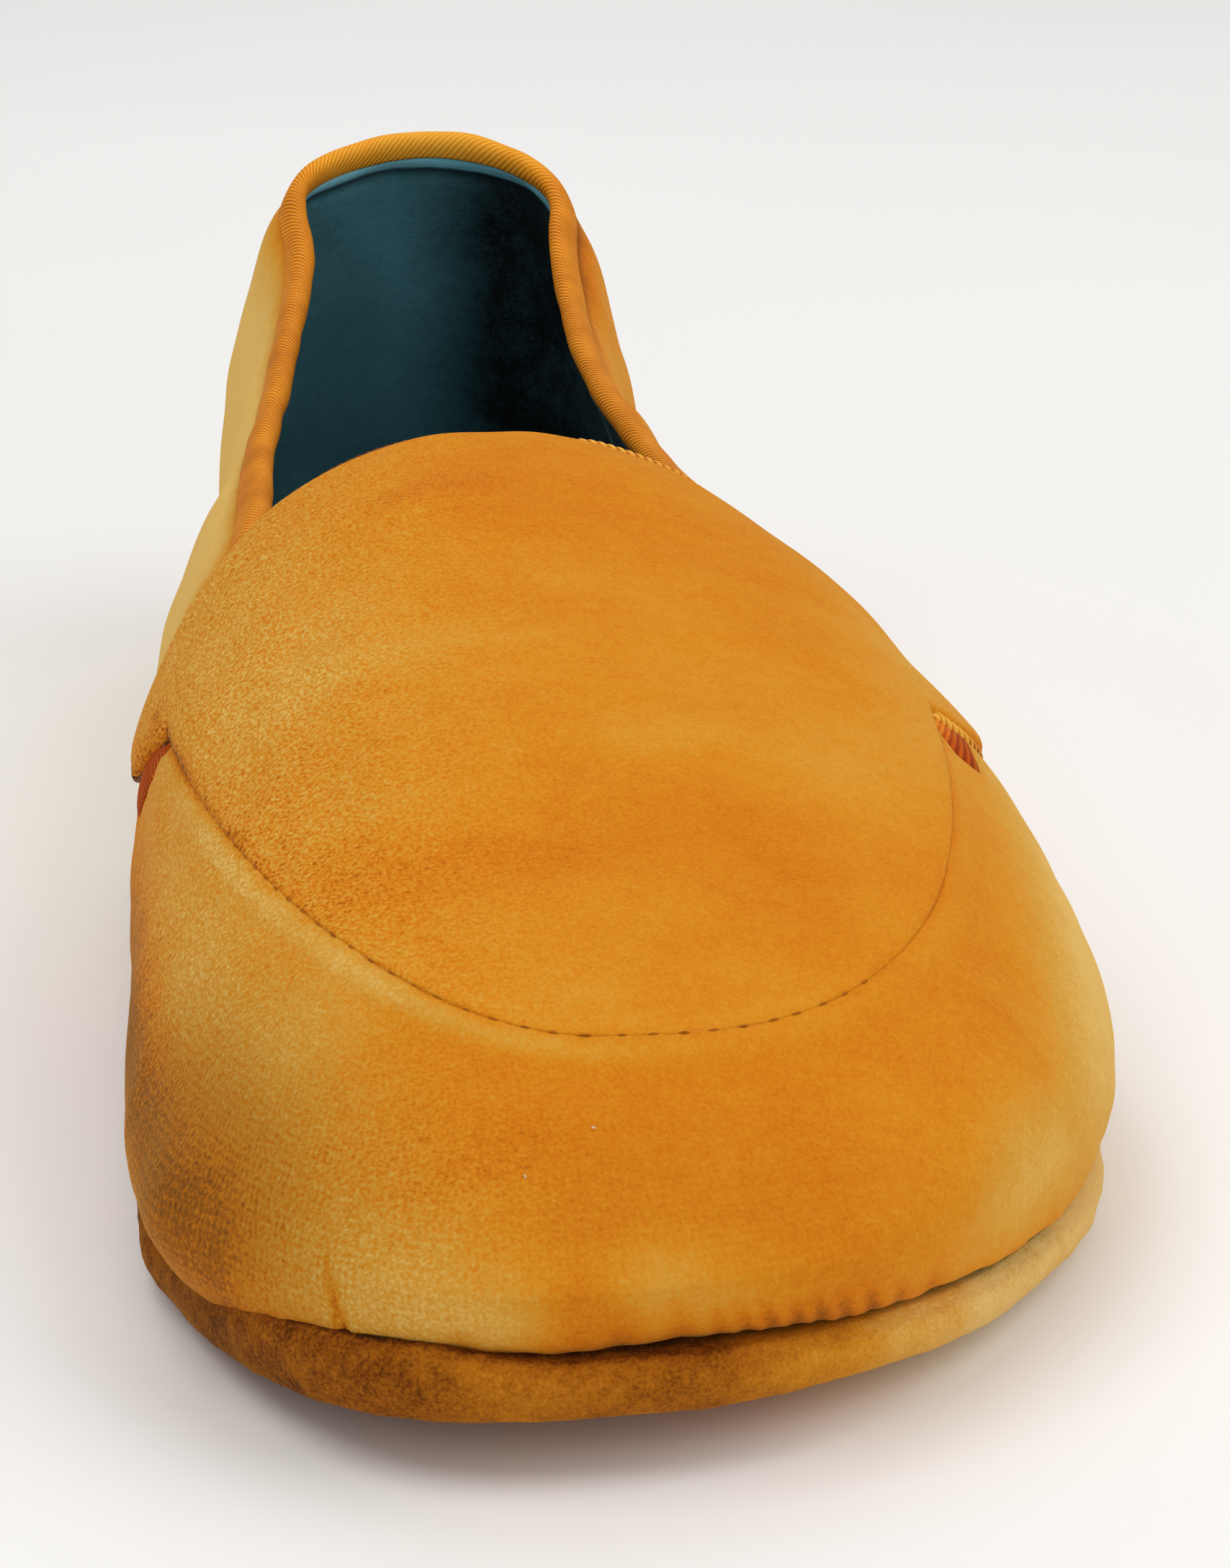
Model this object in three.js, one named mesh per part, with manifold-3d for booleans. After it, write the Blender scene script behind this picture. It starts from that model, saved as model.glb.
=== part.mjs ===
// Velvet loafer, left foot: a soft slip-on whose U-seamed apron ends in a free tongue flap.
// Millimetres, +Z up. The toe points to -Y, the lateral side is +X, the medial side is -X.
// Every form is worked out in the shoe's own plan: u runs from the heel's back to the toe's tip,
// x runs across it, and each plan point has a height on the last.
import * as THREE from 'three';
import { mergeVertices } from 'three/addons/utils/BufferGeometryUtils.js';
import Module from 'manifold-3d';

const wasm = await Module();
wasm.setup();

// Driving dimensions
const LENGTH = 275;
const HEEL_CENTRE = 30; // the round of the heel is drawn about this station
const TOE_CENTRE = 195; // ball line, where the round of the toe begins
const TOE_ROUND = 2.4; // superellipse exponents of the two rounds
const HEEL_ROUND = 2.2;
const WALL = 2.8; // velvet, padding and lining together
const GAP = 0.3; // between pieces that follow the same stations
const CURVED_GAP = 0.5; // between pieces that follow different stations
const SOLE_TOP = 5.8;
const TOE_SPRING = { from: 190, rise: 6.1 };
const TOE_BEND = { from: 120, shift: -4.5 }; // the toe swings to the medial side
const BULGE = { foot: 2.1, heel: 3.9, heelEnd: 60 }; // how far the upper overhangs its feather line
const TOE_TIP = { from: 252, tuck: 3.0, ledge: 0.7 }; // there the upper draws in and the sole stands out
const EQUATOR = { toeTip: 7.0, ball: 10.0, heel: 15.5 }; // height of the widest line over the sole
const SIDE_BLEND = 0.6; // share of a round over which one side's fullness becomes the other's
const DOME_RISE = 2.0; // superellipse exponent of every section's height
const INSOLE_THICKNESS = 2.2;

// Half widths at the widest line, between the two rounds
const PLAN = [
  { u: 30, medial: 28.9, lateral: 33.4 },
  { u: 75, medial: 31.0, lateral: 30.5 },
  { u: 115, medial: 40.2, lateral: 39.4 },
  { u: 150, medial: 42.8, lateral: 49.6 },
  { u: 175, medial: 43.4, lateral: 56.4 },
  { u: 195, medial: 43.6, lateral: 59.2 },
];

// Ridge height of the last, how far the ridge leans to the medial side, and how full each side is.
// Behind the throat the ridge is that of the ankle, which the collar cuts away.
const PROFILE = [
  { u: 0, ridge: 106.0, spine: 0.0, fullMedial: 1.75, fullLateral: 2.4 },
  { u: 30, ridge: 79.5, spine: 0.0, fullMedial: 1.75, fullLateral: 2.25 },
  { u: 75, ridge: 68.5, spine: -1.7, fullMedial: 2.5, fullLateral: 2.5 },
  { u: 115, ridge: 64.0, spine: -3.7, fullMedial: 2.0, fullLateral: 2.15 },
  { u: 150, ridge: 62.5, spine: -4.0, fullMedial: 2.1, fullLateral: 2.0 },
  { u: 175, ridge: 57.0, spine: -3.5, fullMedial: 2.1, fullLateral: 2 },
  { u: 195, ridge: 52.5, spine: -3.0, fullMedial: 2, fullLateral: 1.95 },
  { u: 220, ridge: 45.8, spine: -3.0, fullMedial: 2, fullLateral: 2 },
  { u: 245, ridge: 40.3, spine: -3.0, fullMedial: 2, fullLateral: 2 },
  { u: 262, ridge: 35.5, spine: -3.0, fullMedial: 2, fullLateral: 2 },
  { u: 275, ridge: 27.0, spine: -3.0, fullMedial: 2, fullLateral: 2 },
];

// Side view of the collar: top of its binding, from the heel's back to below the flap
const COLLAR = [
  { u: -5, top: 78.3 },
  { u: 5, top: 77.2 },
  { u: 12, top: 73.4 },
  { u: 25, top: 69.0 },
  { u: 45, top: 63.3 },
  { u: 75, top: 58.1 },
  { u: 105, top: 55.0 },
  { u: 130, top: 54.4 },
  { u: 149, top: 56.2 },
  { u: 156, top: 66.0 },
];
const COLLAR_BINDING = {
  height: 3.0,
  width: 3.6,
  coveredWidth: 2.4,
  coveredFrom: 138,
  coveredTo: 147,
  end: 151.5,
};

// Plan of the apron: the U seam is two superellipse arcs from its apex, the rest is a free edge
const U_SEAM = {
  apex: 3.3,
  front: 251.3,
  medial: { x: -38.4, centre: 146.5, end: 173, round: 2.16 },
  lateral: { x: 44.0, centre: 175.6, end: 184, round: 2.58 },
};
const FLAP_EDGE = [
  { u: 171.4, x: -39.8 },
  { u: 166.5, x: -41.4 },
  { u: 160.6, x: -41.4 },
  { u: 156.8, x: -38.2 },
  { u: 154.2, x: -34.4 },
  { u: 151.5, x: -30.4 },
  { u: 148.6, x: -25.2 },
  { u: 146.9, x: -19.5 },
  { u: 145.3, x: -11.5 },
  { u: 144.2, x: -1.0 },
  { u: 143.8, x: 9.2 },
  { u: 144.8, x: 17.5 },
  { u: 147.5, x: 25.5 },
  { u: 152.5, x: 33.5 },
  { u: 159.5, x: 41.0 },
  { u: 168.0, x: 47.4 },
  { u: 175.0, x: 50.8 },
  { u: 180.0, x: 50.6 },
  { u: 182.8, x: 48.4 },
];
const APRON_CENTRE = { x: 4, u: 170 }; // every point of the outline is in sight of it
const APRON = { seamThickness: 0.9, flapThickness: 2.0, thinFrom: 195, thickTo: 165 };
const FLAP_BINDING = { halfWidth: 1.0, halfHeight: 1.2 };

// Rim of the sole, from its underside up: how far in from the widest line, and how high
const SOLE_RIM = [
  { inset: 2.9, z: 0.0 },
  { inset: 1.4, z: 0.8 },
  { inset: 0.4, z: 2.6 },
  { inset: 0.6, z: 4.4 },
  { inset: 2.5, z: SOLE_TOP },
];
const ARCH = { from: 82, to: 158, rise: 2.4 };

// Facets
const BODY_STATIONS = 14;
const TOE_STATIONS = 30;
const HEEL_STATIONS = 12;
const SIDE_DROPS = [1, 0.9, 0.6, 0.3]; // from the feather line up to the widest line
const DOME_ANGLES = [9, 18, 27, 36, 45, 54, 63, 72, 81];

const clamp = THREE.MathUtils.clamp;

// A smooth curve through one column of a table; flat ends run level into the rounds.
function column(rows, name, flatEnds = false) {
  const stations = rows.map((row) => row.u);
  const values = rows.map((row) => row[name]);
  const curve = new THREE.CubicInterpolant(stations, values, 1, [0]);
  const ending = flatEnds ? THREE.ZeroSlopeEnding : THREE.ZeroCurvatureEnding;
  curve.settings = { endingStart: ending, endingEnd: ending };
  return (u) => curve.evaluate(clamp(u, stations[0], stations.at(-1)))[0];
}

const medialWidth = column(PLAN, 'medial', true);
const lateralWidth = column(PLAN, 'lateral', true);
const ridgeHeight = column(PROFILE, 'ridge');
const spineShift = column(PROFILE, 'spine');
const fullMedial = column(PROFILE, 'fullMedial');
const fullLateral = column(PROFILE, 'fullLateral');
const collarTop = column(COLLAR, 'top');

const ramp = (u, { from }) => Math.max(0, (u - from) / (LENGTH - from)) ** 2;
const spring = (u) => TOE_SPRING.rise * ramp(u, TOE_SPRING);
const bend = (u) => TOE_BEND.shift * ramp(u, TOE_BEND);
const equator = (u) => {
  const heelward = clamp((TOE_CENTRE - u) / TOE_CENTRE, 0, 1);
  const toeward = clamp((u - TOE_CENTRE) / (LENGTH - TOE_CENTRE), 0, 1);
  const behind = THREE.MathUtils.lerp(EQUATOR.ball, EQUATOR.heel, heelward);
  return SOLE_TOP + spring(u) + THREE.MathUtils.lerp(behind, EQUATOR.toeTip, toeward);
};
const heelBulge = (u) => (BULGE.heel - BULGE.foot) * (1 - THREE.MathUtils.smoothstep(u, 0, BULGE.heelEnd));
const atTip = (u) => THREE.MathUtils.smoothstep(u, TOE_TIP.from, LENGTH);
const bulge = (u) => BULGE.foot + heelBulge(u) + TOE_TIP.tuck * atTip(u);
const soleInset = (u) => heelBulge(u) - TOE_TIP.ledge * atTip(u);
const place = (x, u, z) => new THREE.Vector3(x + bend(u), -u, z);

// The ridge point that a plan station is drawn from
function anchorAt(u) {
  const centre = clamp(u, HEEL_CENTRE, TOE_CENTRE);
  return { x: spineShift(centre), u: centre };
}

// Where a direction from a round's centre meets the widest line
function roundPoint(anchor, angle, reach, exponent) {
  const across = Math.cos(angle);
  const along = Math.sin(angle);
  const side = across > 0 ? lateralWidth(anchor.u) - anchor.x : medialWidth(anchor.u) + anchor.x;
  const span = Math.abs(across / side) ** exponent + Math.abs(along / reach) ** exponent;
  const radius = span ** (-1 / exponent);
  return { x: anchor.x + radius * across, u: anchor.u + radius * along, anchor };
}

// The widest line as a closed loop: lateral side, toe, medial side, heel
function widestLine() {
  const loop = [];
  const step = (TOE_CENTRE - HEEL_CENTRE) / BODY_STATIONS;
  for (let i = 0; i <= BODY_STATIONS; i += 1) {
    const u = HEEL_CENTRE + i * step;
    loop.push({ x: lateralWidth(u), u, anchor: anchorAt(u) });
  }
  for (let i = 1; i < TOE_STATIONS; i += 1) {
    const angle = (Math.PI * i) / TOE_STATIONS;
    loop.push(roundPoint(anchorAt(TOE_CENTRE), angle, LENGTH - TOE_CENTRE, TOE_ROUND));
  }
  for (let i = BODY_STATIONS; i >= 0; i -= 1) {
    const u = HEEL_CENTRE + i * step;
    loop.push({ x: -medialWidth(u), u, anchor: anchorAt(u) });
  }
  return [...loop, ...heelRound()];
}

function heelRound() {
  const round = [];
  for (let i = 1; i < HEEL_STATIONS; i += 1) {
    const angle = Math.PI + (Math.PI * i) / HEEL_STATIONS;
    round.push(roundPoint(anchorAt(HEEL_CENTRE), angle, HEEL_CENTRE, HEEL_ROUND));
  }
  return round;
}

// A plan point moved in from the loop by a distance, or placed at a share of the way from its anchor
function inset(point, distance) {
  const dx = point.x - point.anchor.x;
  const du = point.u - point.anchor.u;
  const share = 1 - distance / Math.hypot(dx, du);
  return atShare(point, share);
}
function atShare(point, share) {
  const { anchor } = point;
  return { x: anchor.x + (point.x - anchor.x) * share, u: anchor.u + (point.u - anchor.u) * share };
}

// How full a section is that runs from its anchor in the direction of dx, du
function fullness(dx, du, u) {
  const lateral = THREE.MathUtils.smoothstep(dx / (Math.hypot(dx, du) || 1), -SIDE_BLEND, SIDE_BLEND);
  return THREE.MathUtils.lerp(fullMedial(u), fullLateral(u), lateral);
}

// A point of the last above the widest line, at an angle of its section; grow moves it off the last
function domePoint(point, degrees, grow) {
  const angle = THREE.MathUtils.degToRad(degrees);
  const full = fullness(point.x - point.anchor.x, point.u - point.anchor.u, point.u);
  const share = Math.max(0, Math.cos(angle)) ** (2 / full);
  const plan = atShare(point, share);
  const grown = atShare({ ...inset(point, -grow), anchor: point.anchor }, share);
  const low = equator(point.u);
  const z = low + (ridgeHeight(plan.u) + grow - low) * Math.sin(angle) ** (2 / DOME_RISE);
  return place(grown.x, grown.u, z);
}

// Height of the last over a plan point
function lastHeight(x, u) {
  const anchor = anchorAt(u);
  const dx = x - anchor.x;
  const du = u - anchor.u;
  const side = dx > 0 ? lateralWidth(anchor.u) - anchor.x : medialWidth(anchor.u) + anchor.x;
  const atToe = u > TOE_CENTRE;
  const exponent = atToe ? TOE_ROUND : HEEL_ROUND;
  const reach = atToe ? LENGTH - TOE_CENTRE : HEEL_CENTRE;
  const share = (Math.abs(dx / side) ** exponent + Math.abs(du / reach) ** exponent) ** (1 / exponent);
  const rimU = anchor.u + du / Math.max(share, 1e-6);
  const full = fullness(dx, du, rimU);
  const low = equator(rimU);
  return low + (ridgeHeight(u) - low) * Math.max(0, 1 - share ** full) ** (1 / DOME_RISE);
}

// A point lifted off the last along its normal, with that normal
function lifted(x, u, lift) {
  const reach = 0.4;
  const spot = (px, pu) => place(px, pu, lastHeight(px, pu));
  const along = spot(x, u + reach).sub(spot(x, u - reach));
  const across = spot(x + reach, u).sub(spot(x - reach, u));
  const normal = along.cross(across).normalize();
  if (normal.z < 0) normal.negate();
  return { normal, position: place(x, u, lastHeight(x, u)).addScaledVector(normal, lift) };
}

// A closed solid from rings of points, bottom centre to top centre, every ring in the same order
function ringSolid(rings) {
  const count = rings[0].length;
  const positions = rings.flatMap((ring) => ring.flatMap((point) => point.toArray()));
  const index = [];
  for (let row = 0; row + 1 < rings.length; row += 1) {
    for (let i = 0; i < count; i += 1) {
      const next = (i + 1) % count;
      const [a, b] = [row * count + i, row * count + next];
      const [c, d] = [a + count, b + count];
      index.push(a, c, b, b, c, d);
    }
  }
  return closedGeometry(positions, index);
}

// Shared points are merged and triangles that lost their area are dropped
function closedGeometry(positions, index) {
  const raw = new THREE.BufferGeometry();
  raw.setAttribute('position', new THREE.Float32BufferAttribute(positions, 3));
  raw.setIndex(index);
  const geometry = mergeVertices(raw, 1e-4);
  const kept = [];
  const merged = geometry.index.array;
  for (let i = 0; i < merged.length; i += 3) {
    const [a, b, c] = [merged[i], merged[i + 1], merged[i + 2]];
    if (a !== b && b !== c && c !== a) kept.push(a, b, c);
  }
  geometry.setIndex(kept);
  return geometry;
}

function toSolid(geometry) {
  const vertProperties = new Float32Array(geometry.attributes.position.array);
  const triVerts = new Uint32Array(geometry.index.array);
  return new wasm.Manifold(new wasm.Mesh({ numProp: 3, vertProperties, triVerts }));
}

function toGeometry(solid) {
  const mesh = solid.getMesh();
  const geometry = new THREE.BufferGeometry();
  geometry.setAttribute('position', new THREE.BufferAttribute(mesh.vertProperties, 3));
  geometry.setIndex(new THREE.BufferAttribute(mesh.triVerts, 1));
  return geometry;
}

// A bead along a route of { position, normal, side } frames, with rounded section and flat ends
function bead(route, halfWidth, halfHeight, sides = 8) {
  const positions = [];
  const index = [];
  route.forEach((frame, step) => {
    for (let i = 0; i < sides; i += 1) {
      const angle = (2 * Math.PI * (i + 0.5)) / sides;
      const point = frame.position.clone();
      point.addScaledVector(frame.side, halfWidth(frame) * Math.cos(angle));
      point.addScaledVector(frame.normal, halfHeight * Math.sin(angle));
      positions.push(...point.toArray());
    }
    if (step === 0) return;
    for (let i = 0; i < sides; i += 1) {
      const next = (i + 1) % sides;
      const [a, b] = [(step - 1) * sides + i, (step - 1) * sides + next];
      index.push(a, b, a + sides, b, b + sides, a + sides);
    }
  });
  const last = (route.length - 1) * sides;
  for (let i = 1; i + 1 < sides; i += 1) {
    index.push(0, i + 1, i);
    index.push(last, last + i, last + i + 1);
  }
  return outward(closedGeometry(positions, index));
}

// Faces turned to point out of the solid
function outward(geometry) {
  const position = geometry.attributes.position;
  const index = geometry.index.array;
  const corner = (i) => new THREE.Vector3().fromBufferAttribute(position, index[i]);
  let volume = 0;
  for (let i = 0; i < index.length; i += 3) {
    volume += corner(i).dot(corner(i + 1).cross(corner(i + 2)));
  }
  if (volume > 0) return geometry;
  const turned = [];
  for (let i = 0; i < index.length; i += 3) turned.push(index[i], index[i + 2], index[i + 1]);
  geometry.setIndex(turned);
  return geometry;
}

const WIDEST = widestLine();
const flatRing = (share, z) => WIDEST.map((point) => {
  const plan = atShare(point, share);
  return place(plan.x, plan.u, z(plan.u));
});
const insetRing = (distance, z) => WIDEST.map((point) => {
  const plan = inset(point, distance(point.u));
  return place(plan.x, plan.u, z(plan.u));
});

// Upper: the last's outer form, hollowed by the same form one wall smaller and cut along the collar
function lastForm(grow, bottom) {
  const feather = (u) => SOLE_TOP + GAP + spring(u);
  const featherInset = (u) => bulge(u) - grow;
  const rings = [flatRing(0, bottom), insetRing(featherInset, bottom)];
  for (const drop of SIDE_DROPS) {
    const overhang = 1 - Math.sqrt(1 - drop ** 2);
    const height = (u) => THREE.MathUtils.lerp(equator(u), feather(u), drop);
    rings.push(insetRing((u) => bulge(u) * overhang - grow, height));
  }
  for (const angle of [0, ...DOME_ANGLES, 90]) {
    rings.push(WIDEST.map((point) => domePoint(point, angle, grow)));
  }
  return ringSolid(rings);
}

function collarKnife() {
  const behind = -30;
  const above = 160;
  const halfSpan = 90;
  const cut = new THREE.Shape();
  cut.moveTo(-behind, above);
  for (let u = behind; u <= COLLAR.at(-1).u; u += 3) {
    cut.lineTo(-u, collarTop(u) - COLLAR_BINDING.height);
  }
  cut.lineTo(-COLLAR.at(-1).u, above);
  const geometry = new THREE.ExtrudeGeometry(cut, { depth: 2 * halfSpan, bevelEnabled: false, steps: 1 });
  geometry.translate(0, 0, -halfSpan);
  const axes = new THREE.Matrix4();
  axes.makeBasis(new THREE.Vector3(0, 1, 0), new THREE.Vector3(0, 0, 1), new THREE.Vector3(1, 0, 0));
  geometry.applyMatrix4(axes);
  geometry.deleteAttribute('normal');
  geometry.deleteAttribute('uv');
  return outward(mergeVertices(geometry, 1e-4));
}

function upper() {
  const through = -10;
  const outside = toSolid(lastForm(0, (u) => SOLE_TOP + GAP + spring(u)));
  const inside = toSolid(lastForm(-WALL, () => through));
  return toGeometry(outside.subtract(inside).subtract(toSolid(collarKnife())));
}

// Collar binding: a bead on the cut edge, thinner where it runs below the flap
function collarRoute() {
  const steps = 15;
  const stations = [];
  for (let i = 0; i <= steps; i += 1) {
    stations.push(THREE.MathUtils.lerp(COLLAR_BINDING.end, HEEL_CENTRE, i / steps));
  }
  const medialSide = stations.map((u) => ({ x: -medialWidth(u), u, anchor: anchorAt(u) }));
  const lateralSide = stations.toReversed().map((u) => ({ x: lateralWidth(u), u, anchor: anchorAt(u) }));
  return [...medialSide, ...heelRound(), ...lateralSide].map(collarFrame);
}

// Where one section of the middle of the wall meets the cut, with the wall's normal and its way up
function collarFrame(point) {
  let low = 0;
  let high = 90;
  for (let i = 0; i < 40; i += 1) {
    const middle = (low + high) / 2;
    const at = domePoint(point, middle, -WALL / 2);
    if (at.z < collarTop(-at.y) - COLLAR_BINDING.height) low = middle;
    else high = middle;
  }
  const position = domePoint(point, low, -WALL / 2);
  const up = domePoint(point, low + 1, -WALL / 2).sub(domePoint(point, low - 1, -WALL / 2)).normalize();
  const normal = domePoint(point, low, 0).sub(position);
  normal.addScaledVector(up, -normal.dot(up)).normalize();
  const tilt = Math.abs(normal.z) / Math.hypot(normal.x, normal.y);
  const halfHeight = (COLLAR_BINDING.height - GAP) / 2;
  position.addScaledVector(up, halfHeight + GAP + tilt * (WALL / 2));
  return { position, normal: up, side: normal, u: -position.y };
}

function collarBinding() {
  const { width, coveredWidth, coveredFrom, coveredTo, height } = COLLAR_BINDING;
  const halfWidth = (frame) => {
    const covered = THREE.MathUtils.smoothstep(frame.u, coveredFrom, coveredTo);
    return THREE.MathUtils.lerp(width, coveredWidth, covered) / 2;
  };
  return bead(collarRoute(), halfWidth, (height - GAP) / 2);
}

// Apron: a sheet laid over the last inside its own plan outline, thicker where it becomes the flap
function seamPoint(angle) {
  const side = Math.cos(angle) > 0 ? U_SEAM.lateral : U_SEAM.medial;
  const across = Math.abs(Math.cos(angle)) ** (2 / side.round);
  const along = Math.sin(angle) ** (2 / side.round);
  return {
    x: THREE.MathUtils.lerp(U_SEAM.apex, side.x, across),
    u: THREE.MathUtils.lerp(side.centre, U_SEAM.front, along),
  };
}

// The angle at which one side of the seam reaches its end
function seamEnd({ centre, end, round }) {
  const along = (end - centre) / (U_SEAM.front - centre);
  return Math.asin(along ** (round / 2));
}

function apronPlan() {
  const seamSteps = 30;
  const edgeSteps = 38;
  const seam = [];
  const from = seamEnd(U_SEAM.lateral);
  const to = Math.PI - seamEnd(U_SEAM.medial);
  for (let i = 0; i <= seamSteps; i += 1) {
    seam.push(seamPoint(THREE.MathUtils.lerp(from, to, i / seamSteps)));
  }
  const knots = [seam.at(-1), ...FLAP_EDGE, seam[0]].map((knot) => new THREE.Vector2(knot.x, knot.u));
  const spaced = new THREE.SplineCurve(knots).getSpacedPoints(edgeSteps);
  const edge = spaced.map((knot) => ({ x: knot.x, u: knot.y }));
  return { seam, edge };
}

function apronThickness(u) {
  const thin = THREE.MathUtils.smoothstep(u, APRON.thickTo, APRON.thinFrom);
  return THREE.MathUtils.lerp(APRON.flapThickness, APRON.seamThickness, thin);
}

function apron() {
  const { seam, edge } = apronPlan();
  const outline = [...seam, ...edge.slice(1, -1)].map((point) => ({ ...point, anchor: APRON_CENTRE }));
  const ring = (share, lift) => outline.map((point) => {
    const plan = atShare(point, share);
    return lifted(plan.x, plan.u, lift(plan.u)).position;
  });
  const under = () => CURVED_GAP;
  const over = (u) => CURVED_GAP + apronThickness(u);
  const shares = [0, 0.16, 0.32, 0.48, 0.62, 0.74, 0.84, 0.92, 0.97, 1];
  const below = shares.map((share) => ring(share, under));
  const above = shares.toReversed().map((share) => ring(share, over));
  const rings = [...below, ...above];
  return outward(ringSolid(rings));
}

// Flap binding: a bead round the apron's free edge, from one end of the U seam to the other
function flapBinding() {
  const { edge } = apronPlan();
  const { halfWidth, halfHeight } = FLAP_BINDING;
  const lift = CURVED_GAP + halfHeight;
  const frames = edge.map((point, i) => {
    const before = edge[Math.max(0, i - 1)];
    const after = edge[Math.min(edge.length - 1, i + 1)];
    const { position, normal } = lifted(point.x, point.u, lift);
    const along = lifted(after.x, after.u, lift).position.sub(lifted(before.x, before.u, lift).position);
    const side = normal.clone().cross(along).normalize();
    position.addScaledVector(side, halfWidth + GAP);
    return { position, normal, side };
  });
  return bead(frames, () => halfWidth, halfHeight);
}

// Sole: a thin wrapped board with a rounded rim, an arch under the waist and a little toe spring
function sole() {
  const arch = (u) => {
    const share = clamp((u - ARCH.from) / (ARCH.to - ARCH.from), 0, 1);
    return ARCH.rise * Math.sin(Math.PI * share) ** 2;
  };
  const level = (z) => (u) => z + spring(u) + arch(u) * (1 - z / SOLE_TOP);
  const rings = [flatRing(0, level(0)), flatRing(0.5, level(0))];
  for (const row of SOLE_RIM) {
    rings.push(insetRing((u) => row.inset + soleInset(u), level(row.z)));
  }
  rings.push(...[0.8, 0.5, 0].map((share) => flatRing(share, level(SOLE_TOP))));
  return ringSolid(rings);
}

// Insole: a thin board on the sole, clear of the wall all round
function insole() {
  const edge = (u) => bulge(u) + WALL + CURVED_GAP;
  const bottom = (u) => SOLE_TOP + GAP + spring(u);
  const top = (u) => bottom(u) + INSOLE_THICKNESS;
  return ringSolid([flatRing(0, bottom), insetRing(edge, bottom), insetRing(edge, top), flatRing(0, top)]);
}

const PIECES = [
  { name: 'sole', make: sole, color: 0xb5792a, roughness: 0.95 },
  { name: 'insole', make: insole, color: 0x1d3a44, roughness: 0.9 },
  { name: 'upper', make: upper, color: 0xc98a2c, roughness: 0.85 },
  { name: 'apron', make: apron, color: 0xd08a20, roughness: 0.85 },
  { name: 'flap_binding', make: flapBinding, color: 0xa8560f, roughness: 0.7 },
  { name: 'collar_binding', make: collarBinding, color: 0xd9861d, roughness: 0.7 },
];

const loafer = new THREE.Group();
loafer.name = 'velvet_loafer';
for (const { name, make, color, roughness } of PIECES) {
  const geometry = make();
  geometry.computeVertexNormals();
  const mesh = new THREE.Mesh(geometry, new THREE.MeshStandardMaterial({ color, roughness, metalness: 0 }));
  mesh.name = name;
  loafer.add(mesh);
}

// The origin is under the middle of the shoe, on the floor
const box = new THREE.Box3().setFromObject(loafer);
const middle = box.getCenter(new THREE.Vector3());
loafer.position.set(-middle.x, -middle.y, -box.min.z);

export default loafer;
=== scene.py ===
# Looks of the velvet loafer, left foot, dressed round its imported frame. Sizes are millimetres in the
# shoe's own plan: u runs from the heel's back to the toe's tip, x across to the lateral side.
import math

import bmesh
import bpy
import numpy as np
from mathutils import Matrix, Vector


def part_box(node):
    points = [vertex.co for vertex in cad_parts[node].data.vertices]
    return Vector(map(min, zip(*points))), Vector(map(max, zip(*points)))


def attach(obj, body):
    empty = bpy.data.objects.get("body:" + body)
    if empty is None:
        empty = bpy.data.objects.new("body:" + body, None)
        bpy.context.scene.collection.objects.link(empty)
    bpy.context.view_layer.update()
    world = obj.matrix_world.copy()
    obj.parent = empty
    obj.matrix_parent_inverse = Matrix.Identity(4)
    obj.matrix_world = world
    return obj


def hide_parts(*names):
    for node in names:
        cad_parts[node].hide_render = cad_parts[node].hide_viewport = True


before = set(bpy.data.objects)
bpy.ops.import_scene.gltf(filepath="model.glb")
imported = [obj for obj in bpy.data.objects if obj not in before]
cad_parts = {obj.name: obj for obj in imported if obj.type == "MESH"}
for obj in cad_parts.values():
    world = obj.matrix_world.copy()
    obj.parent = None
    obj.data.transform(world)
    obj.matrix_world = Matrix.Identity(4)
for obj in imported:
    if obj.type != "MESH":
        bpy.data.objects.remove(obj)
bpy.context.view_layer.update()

MM = 0.001
TINY = 1e-9

# Sizes of the last, the same as the solids'
LENGTH = 275.0
HEEL_CENTRE = 30.0
TOE_CENTRE = 195.0
TOE_ROUND = 2.4
HEEL_ROUND = 2.2
WALL = 2.8
GAP = 0.3
SOLE_TOP = 5.8
SPRING_FROM, SPRING_RISE = 190.0, 6.1
BEND_FROM, BEND_SHIFT = 120.0, -4.5
BULGE_FOOT, BULGE_HEEL, BULGE_HEEL_END = 2.1, 3.9, 60.0
TIP_FROM, TIP_TUCK, TIP_LEDGE = 252.0, 3.0, 0.7
EQUATOR_TIP, EQUATOR_BALL, EQUATOR_HEEL = 7.0, 10.0, 15.5
SIDE_BLEND = 0.6
DOME_RISE = 2.0
INSOLE_THICKNESS, INSOLE_PLAY, INSOLE_SHARES = 2.2, 0.5, (0.8, 0.6, 0.4, 0.2, 0)
BINDING_HEIGHT = 3.0

# Columns: u, medial half width, lateral half width
PLAN = np.array([
    (30, 28.9, 33.4), (75, 31, 30.5), (115, 40.2, 39.4),
    (150, 42.8, 49.6), (175, 43.4, 56.4), (195, 43.6, 59.2),
])
# Columns: u, ridge height, ridge's shift, fullness of the medial and of the lateral side
PROFILE = np.array([
    (0, 106, 0, 1.75, 2.4), (30, 79.5, 0, 1.75, 2.25), (75, 68.5, -1.7, 2.5, 2.5),
    (115, 64, -3.7, 2, 2.15), (150, 62.5, -4, 2.1, 2), (175, 57, -3.5, 2.1, 2),
    (195, 52.5, -3, 2, 1.95), (220, 45.8, -3, 2, 2), (245, 40.3, -3, 2, 2),
    (262, 35.5, -3, 2, 2), (275, 27, -3, 2, 2),
])
# Columns: u, top of the collar's binding
COLLAR = np.array([
    (-5, 78.3), (5, 77.6), (12, 74.6), (25, 69.6), (45, 63.3),
    (75, 58.1), (105, 55), (130, 54.4), (149, 56.2), (156, 66),
])
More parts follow.
